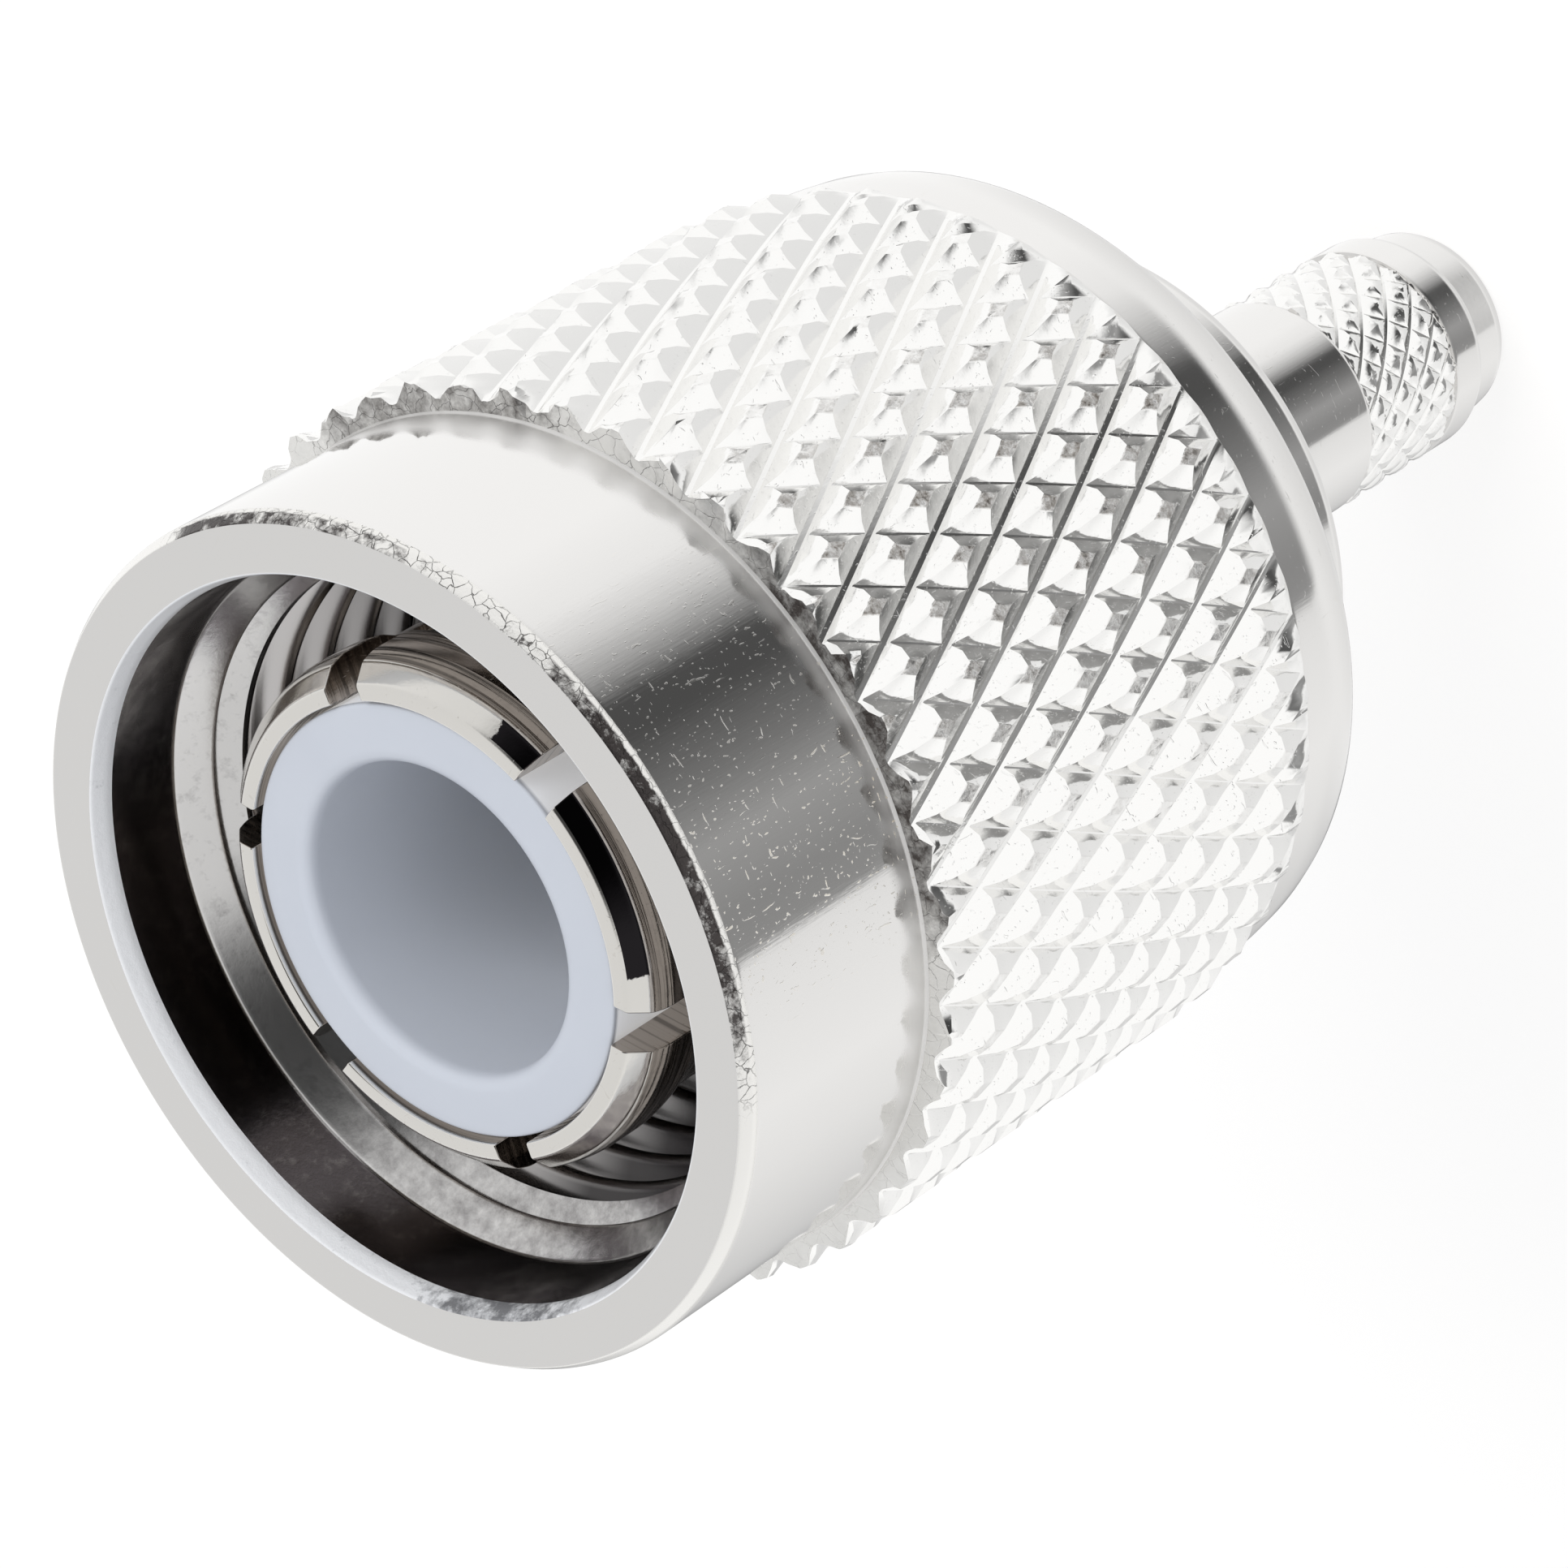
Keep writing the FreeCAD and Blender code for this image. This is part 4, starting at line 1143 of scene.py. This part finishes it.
# %% Outline of the body
STEM_RADIUS = 1.90
STEM_BORE = 1.30
GRIP_BOTTOM = 1.80
GRIP_LENGTH = 2.45
GRIP_COUNT = 18
GRIP_ROWS = 7
GRIP_ROOT = 1.84
GRIP_RISE = 0.09
GRIP_TEAR = 0.02
GRIP_FADE = 0.05
TIP_RADIUS = 1.70
TIP_LENGTH = 0.90
HUB_RADIUS = 4.85
HUB_GROOVE_RADIUS = 4.35
HUB_REAR = below(17.0)
HUB_FRONT = below(6.90)
SOCKET_RADIUS = 4.00
SOCKET_DEPTH = 10.0
BEAD_RADIUS = 3.20
BEAD_END = 13.4
BODY_COLUMNS = 180

body_strip = [
    (STEM_RADIUS - 0.01, GRIP_BOTTOM + GRIP_LENGTH + 0.02, 0),
    (STEM_RADIUS, GRIP_BOTTOM + GRIP_LENGTH + 0.06, 0.03),
    (STEM_RADIUS, HUB_REAR - 0.60, 0.30),
    (2.70, HUB_REAR, 0.20),
    (HUB_RADIUS, HUB_REAR, 0.26),
    (HUB_RADIUS, below(GROOVE_DEPTHS[1]), 0),
    (HUB_GROOVE_RADIUS, below(GROOVE_DEPTHS[1]), 0),
    (HUB_GROOVE_RADIUS, below(GROOVE_DEPTHS[0]), 0),
    (HUB_RADIUS, below(GROOVE_DEPTHS[0]), 0),
    (HUB_RADIUS, HUB_FRONT, 0.06),
    (SOCKET_RADIUS, HUB_FRONT, 0),
    (SOCKET_RADIUS, below(SOCKET_DEPTH), 0),
    (BEAD_RADIUS, below(SOCKET_DEPTH), 0),
    (BEAD_RADIUS, below(BEAD_END), 0),
    (STEM_BORE, below(BEAD_END), 0.05),
    (STEM_BORE, 0.0, 0.06),
    (TIP_RADIUS - 0.04, 0.0, 0.22),
    (TIP_RADIUS, TIP_LENGTH, 0.05),
    (STEM_RADIUS, TIP_LENGTH + 0.16, 0.08),
    (STEM_RADIUS, GRIP_BOTTOM - 0.06, 0.03),
    (STEM_RADIUS - 0.01, GRIP_BOTTOM - 0.02, 0),
]
print("outline of", len(body_strip), "corners")

# %% Build the body
BODY_FINISHES = [plain_nickel, knurl_nickel]

body_mesh = bmesh.new()
body_mesh.from_mesh(knurl_mesh("grip_knurl", GRIP_COUNT, GRIP_ROWS, GRIP_LENGTH, GRIP_BOTTOM, GRIP_ROOT,
                               GRIP_RISE, GRIP_TEAR, 0.0, GRIP_FADE))
for face in body_mesh.faces:
    face.material_index = BODY_FINISHES.index(knurl_nickel)
top_rim, low_rim = (rim_of(body_mesh, level * MM) for level in (GRIP_BOTTOM + GRIP_LENGTH, GRIP_BOTTOM))
body_rings = turn_strip(body_mesh, softened(body_strip), BODY_COLUMNS)
stitched(body_mesh, body_rings[0], top_rim)
stitched(body_mesh, body_rings[-1], low_rim)
body = finished("body", body_mesh, BODY_FINISHES, sharp=FINE_CREASE,
                finish_of=lambda radius, height, face: face.material_index)
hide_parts("plug_body")
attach(body, "plug")

# %% [markdown]
# ## The slotted contact
#
# Six saw cuts turn the front of a sleeve into spring fingers. A saw leaves parallel walls, so the cut is
# a smaller angle at a larger radius: each column of the mesh is placed for its own radius. The outline
# runs up the outside, over the beaded tip and down the inside, and the faces between two fingers are
# left out above the bottom of the cuts, where a floor joins the two sides.

# %% Sizes of the contact
CONTACT_BORE = 3.46
CONTACT_TIP = below(0.97)
SLOT_COUNT = 6
SLOT_WIDTH = 0.67
SLOT_FLOOR = below(5.80)
SLOT_PHASE = math.radians(-17.75)
FINGER_COLUMNS = 26
FINGER_RADIUS = 3.86
contact_outside = [
    (SOCKET_RADIUS, below(SOCKET_DEPTH), 0),
    (SOCKET_RADIUS, below(6.14), 0.03),
    (FINGER_RADIUS, below(6.00), 0.03),
    (FINGER_RADIUS, SLOT_FLOOR, 0),
    (FINGER_RADIUS, below(2.86), 0.10),
    (3.90, below(2.60), 0.05),
    (4.02, below(2.34), 0.06),
    (4.06, below(2.10), 0.06),
    (4.06, below(1.50), 0.12),
    (3.98, below(1.24), 0.05),
    (3.72, CONTACT_TIP, 0.05),
    (CONTACT_BORE + 0.01, CONTACT_TIP, 0.04),
]
contact_inside = [
    (CONTACT_BORE, SLOT_FLOOR, 0),
    (CONTACT_BORE, below(SOCKET_DEPTH), 0),
]
print("outline of", len(contact_outside) + len(contact_inside), "corners,", SLOT_COUNT, "fingers")

# %% Slotted sleeve
CLOSE = 1e-6


def slotted_sleeve(mesh):
    """Grid of the slotted sleeve, closed by the slots' walls and floors."""
    outline = softened(contact_outside + contact_inside)
    floor_rows = [row for row, point in enumerate(outline) if abs(point.y - SLOT_FLOOR) < CLOSE]
    outer_floor, inner_floor = floor_rows[0], floor_rows[-1]
    share = 2 * math.pi / SLOT_COUNT

    def angle_at(finger, t, radius):
        half_slot = math.asin(SLOT_WIDTH / 2 / radius)
        return SLOT_PHASE + finger * share + half_slot + t * (share - 2 * half_slot)

    columns = [[placed(mesh, point, angle_at(finger, step / FINGER_COLUMNS, point.x)) for point in outline]
               for finger in range(SLOT_COUNT) for step in range(FINGER_COLUMNS + 1)]
    rows = len(outline)
    for index, column in enumerate(columns):
        other = columns[(index + 1) % len(columns)]
        in_slot = index % (FINGER_COLUMNS + 1) == FINGER_COLUMNS
        for row in range(rows):
            after = (row + 1) % rows
            if in_slot and outer_floor <= row < inner_floor:
                continue
            mesh.faces.new((column[row], column[after], other[after], other[row]))
        if in_slot:
            mesh.faces.new((column[outer_floor], column[inner_floor],
                            other[inner_floor], other[outer_floor]))
            for wall in (column, other):
                mesh.faces.new(wall[outer_floor:inner_floor + 1])


contact_mesh = bmesh.new()
slotted_sleeve(contact_mesh)
print("slotted sleeve of", len(contact_mesh.faces), "faces")

# %% Build the contact
CONTACT_FINISHES = [tip_nickel, side_nickel, bevel_nickel]
TIP, SIDE, BEVEL = range(len(CONTACT_FINISHES))
SIDE_TOP = below(1.30)
BEVEL_RADII = (3.75, 3.97)
BEVEL_SLOPES = (0.45, 0.90)
CONTACT_CREASE = math.radians(50)
BROKEN_EDGE = math.radians(60)
EDGE_BREAK = 0.018 * MM


def contact_finish(radius, height, face):
    """Which finish a face of the contact has: its tip, its outside or its bevel."""
    if height < SIDE_TOP:
        return SIDE
    at_rim = BEVEL_RADII[0] < radius < BEVEL_RADII[1]
    sloping = BEVEL_SLOPES[0] < face.normal.z < BEVEL_SLOPES[1]
    return BEVEL if at_rim and sloping else TIP


contact = finished("contact_sleeve", contact_mesh, CONTACT_FINISHES, contact_finish, CONTACT_CREASE)
soften_edges = contact.modifiers.new("edges", "BEVEL")
soften_edges.width = EDGE_BREAK
soften_edges.segments = 2
soften_edges.limit_method = "ANGLE"
soften_edges.angle_limit = BROKEN_EDGE
plain = bpy.data.meshes.new_from_object(contact.evaluated_get(bpy.context.evaluated_depsgraph_get()))
contact.modifiers.remove(soften_edges)
contact.data = plain
print("contact after its edges are broken:", len(plain.polygons), "faces")
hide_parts("outer_contact")
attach(contact, "plug")

# %% [markdown]
# ## Insulators, gasket and the hidden pieces
#
# The front insulator is turned from soft white plastic, so its edges are rounder than the metal's. The
# gasket is a ring of rubber whose corners are nearly round. The pin, the rear bead and the split ring
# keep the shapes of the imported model, and only get their finishes.

# %% Build the front insulator
CUP_RADIUS = 2.46
CUP_FACE = below(1.08)
CUP_FLOOR = below(6.30)
LIP_RADIUS = 3.40
INSULATOR_REAR = below(9.20)
PIN_BORE = 0.675
CUP_COLUMNS = 192
cup_outline = [
    (CUP_RADIUS, CUP_FACE, 0.22),
    (LIP_RADIUS, CUP_FACE, 0.05),
    (LIP_RADIUS, below(5.60), 0.02),
    (CONTACT_BORE, below(5.64), 0.02),
    (CONTACT_BORE, INSULATOR_REAR, 0.05),
    (PIN_BORE, INSULATOR_REAR, 0),
    (PIN_BORE, CUP_FLOOR, 0.03),
    (CUP_RADIUS, CUP_FLOOR, 0.25),
]
cup_mesh = bmesh.new()
turn_strip(cup_mesh, softened(cup_outline, closed=True), CUP_COLUMNS, closed=True)
cup = finished("front_cup", cup_mesh, [white_plastic])
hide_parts("front_insulator")
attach(cup, "plug")

# %% Build the gasket
SEAL_INNER = 4.02
SEAL_COLUMNS = 128
gasket_low, gasket_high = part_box("gasket")
seal_outer = gasket_high.x / MM
seal_outline = [
    (SEAL_INNER, gasket_low.z / MM, 0.12),
    (seal_outer, gasket_low.z / MM, 0.22),
    (seal_outer, gasket_high.z / MM, 0.26),
    (SEAL_INNER, gasket_high.z / MM, 0.26),
]
seal_mesh = bmesh.new()
turn_strip(seal_mesh, softened(seal_outline, closed=True), SEAL_COLUMNS, closed=True)
seal = finished("seal_ring", seal_mesh, [seal_rubber])
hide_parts("gasket")
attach(seal, "plug")

# %% Finishes of the pieces that keep the model's shape
for node, material in (("rear_insulator", bead_plastic), ("centre_contact", pin_gold),
                       ("retaining_ring", spring_bronze)):
    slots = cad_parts[node].data.materials
    slots.clear()
    slots.append(material)

for stud in studs.values():
    bpy.data.objects.remove(stud)
print("kept pieces are finished, and the", len(studs), "flat studs are gone")

# %% [markdown]
# ## The light tent
#
# Bright metal shows its surroundings, so the surroundings are designed first. The plug stands in a white
# tent: white floor, white walls. A tent has an opening for the lens, and that opening is what draws the
# dark band on the nose of the nut. The world's colour is therefore a function of direction, for glossy
# rays only. Rays from the camera see plain white, and diffuse rays an even soft grey-white.

# %% World
# Brightness round the tent at 45 degrees below the level of the plug, by compass angle in degrees.
TENT_BELT = ((-180, 0.96), (-150, 0.90), (-140, 0.86), (-137.5, 0.30), (-127, 0.28), (-110, 0.36),
             (-95, 0.20), (-77, 0.08), (-68, 0.08), (-60, 0.38), (-50, 0.72), (-40, 0.95), (-20, 1.04),
             (30, 1.05), (70, 1.05), (82, 0.55), (96, 0.32), (109, 0.55), (118, 0.65), (142, 0.79),
             (160, 0.89), (180, 0.96))
# How much the belt counts, and how bright the rest is, from straight below (0) to straight above (1).
BELT_SHARE = ((0.0, 0.0), (0.080, 0.0), (0.112, 1.0), (0.30, 1.0), (0.36, 0.0), (1.0, 0.0))
DOME = ((0.0, 0.80), (0.04, 0.85), (0.08, 0.95), (0.35, 1.05), (0.45, 1.05), (0.60, 0.92), (0.78, 0.76),
        (1.0, 0.74))
OPENING_COMPASS = math.radians(-80)
OPENING_HEIGHT = math.radians(58)
OPENING = Vector((math.cos(OPENING_COMPASS) * math.cos(OPENING_HEIGHT),
                  math.sin(OPENING_COMPASS) * math.cos(OPENING_HEIGHT), math.sin(OPENING_HEIGHT)))
OPENING_RIM = (math.cos(math.radians(42)), math.cos(math.radians(19)))
OPENING_SHADE = 0.07
SOFT_LIGHT = (0.62, 0.64, 0.68)
WHITE = (1.0, 1.0, 1.0)

scene = bpy.context.scene
scene.view_settings.view_transform = "Standard"
world = bpy.data.worlds.new("tent")
scene.world = world
world.use_nodes = True
sky = world.node_tree
sky.nodes.clear()

direction = add(sky, "ShaderNodeTexCoord").outputs["Generated"]
upward = mapped(sky, level_of(sky, direction), -1.0, 1.0)
facing = vector_calc(sky, "DOT_PRODUCT", direction, OPENING)
lens_gap = mapped(sky, facing, *OPENING_RIM, 1.0, OPENING_SHADE, interpolation_type="SMOOTHSTEP")
dome = vector_calc(sky, "SCALE", ramp_of(sky, upward, DOME), scale=lens_gap)
tent = between(sky, ramp_of(sky, upward, BELT_SHARE), dome, round_ramp(sky, direction, TENT_BELT))

ray = add(sky, "ShaderNodeLightPath").outputs
shiny = calc(sky, "MAXIMUM", ray["Is Glossy Ray"], ray["Is Transmission Ray"])
seen = between(sky, ray["Is Camera Ray"], between(sky, shiny, SOFT_LIGHT, tent), WHITE)
background = add(sky, "ShaderNodeBackground", {"Color": seen, "Strength": 1.0})
add(sky, "ShaderNodeOutputWorld", {0: background.outputs[0]})
print("world", world.name, "with", len(sky.nodes), "nodes")

# %% [markdown]
# ## Floor and lamps
#
# The floor is a plain pale sheet that takes the plug's shadow. Its paper is darker than it looks: a glow
# for camera rays only, weaker near the plug where the lamps are close, brings it up to white. Glossy
# rays pass through it, because the tent closes below the plug as well. Two soft lamps light what isn't
# metal, the insulator above all, from above the nose and from the side.

# %% Floor
FLOOR_SIDE = 2.0
LIT_RADIUS = 0.03
DIM_RADIUS = 0.15
FLOOR_GLOW = (0.71, 0.84)
PAPER = (0.36, 0.35, 0.335, 1.0)

floor_mesh = bmesh.new()
bmesh.ops.create_grid(floor_mesh, x_segments=1, y_segments=1, size=FLOOR_SIDE / 2)
floor_data = bpy.data.meshes.new("floor")
floor_mesh.to_mesh(floor_data)
floor_mesh.free()
floor = bpy.data.objects.new("floor", floor_data)
scene.collection.objects.link(floor)
floor.visible_glossy = False
floor_material, floor_output = new_material("tent_floor")
floor_tree = floor_material.node_tree
floor_ray = add(floor_tree, "ShaderNodeLightPath").outputs
away = vector_calc(floor_tree, "LENGTH", add(floor_tree, "ShaderNodeTexCoord").outputs["Object"])
strength = calc(floor_tree, "MULTIPLY", floor_ray["Is Camera Ray"],
                mapped(floor_tree, away, LIT_RADIUS, DIM_RADIUS, *FLOOR_GLOW))
glow = add(floor_tree, "ShaderNodeEmission", {"Color": (*WHITE, 1.0), "Strength": strength})
paper = add(floor_tree, "ShaderNodeBsdfDiffuse", {"Color": PAPER})
both = add(floor_tree, "ShaderNodeAddShader", {0: paper.outputs[0], 1: glow.outputs[0]})
floor_tree.links.new(both.outputs[0], floor_output.inputs[0])
floor_data.materials.append(floor_material)
print("floor", FLOOR_SIDE, "m wide, finish", floor_material.name)

# %% Lamps
MIDDLE = (0.0, 0.0, 0.5 * FRONT * MM)
# Each lamp's place, width and power.
SOFT_LAMPS = {"key": ((0.10, -0.06, 0.16), 0.12, 0.16), "fill": ((-0.12, -0.10, 0.10), 0.14, 0.06)}


def soft_lamp(name, place, width, power):
    """A square area lamp, aimed at the plug's middle, that bright metal doesn't mirror."""
    data = bpy.data.lights.new(name, "AREA")
    data.shape = "SQUARE"
    data.size = width
    data.energy = power
    lamp = bpy.data.objects.new(name, data)
    lamp.location = place
    lamp.rotation_euler = (Vector(MIDDLE) - Vector(place)).to_track_quat("-Z", "Y").to_euler()
    lamp.visible_glossy = False
    scene.collection.objects.link(lamp)


for name, (place, width, power) in SOFT_LAMPS.items():
    soft_lamp(name, place, width, power)
print("lamps", list(SOFT_LAMPS))
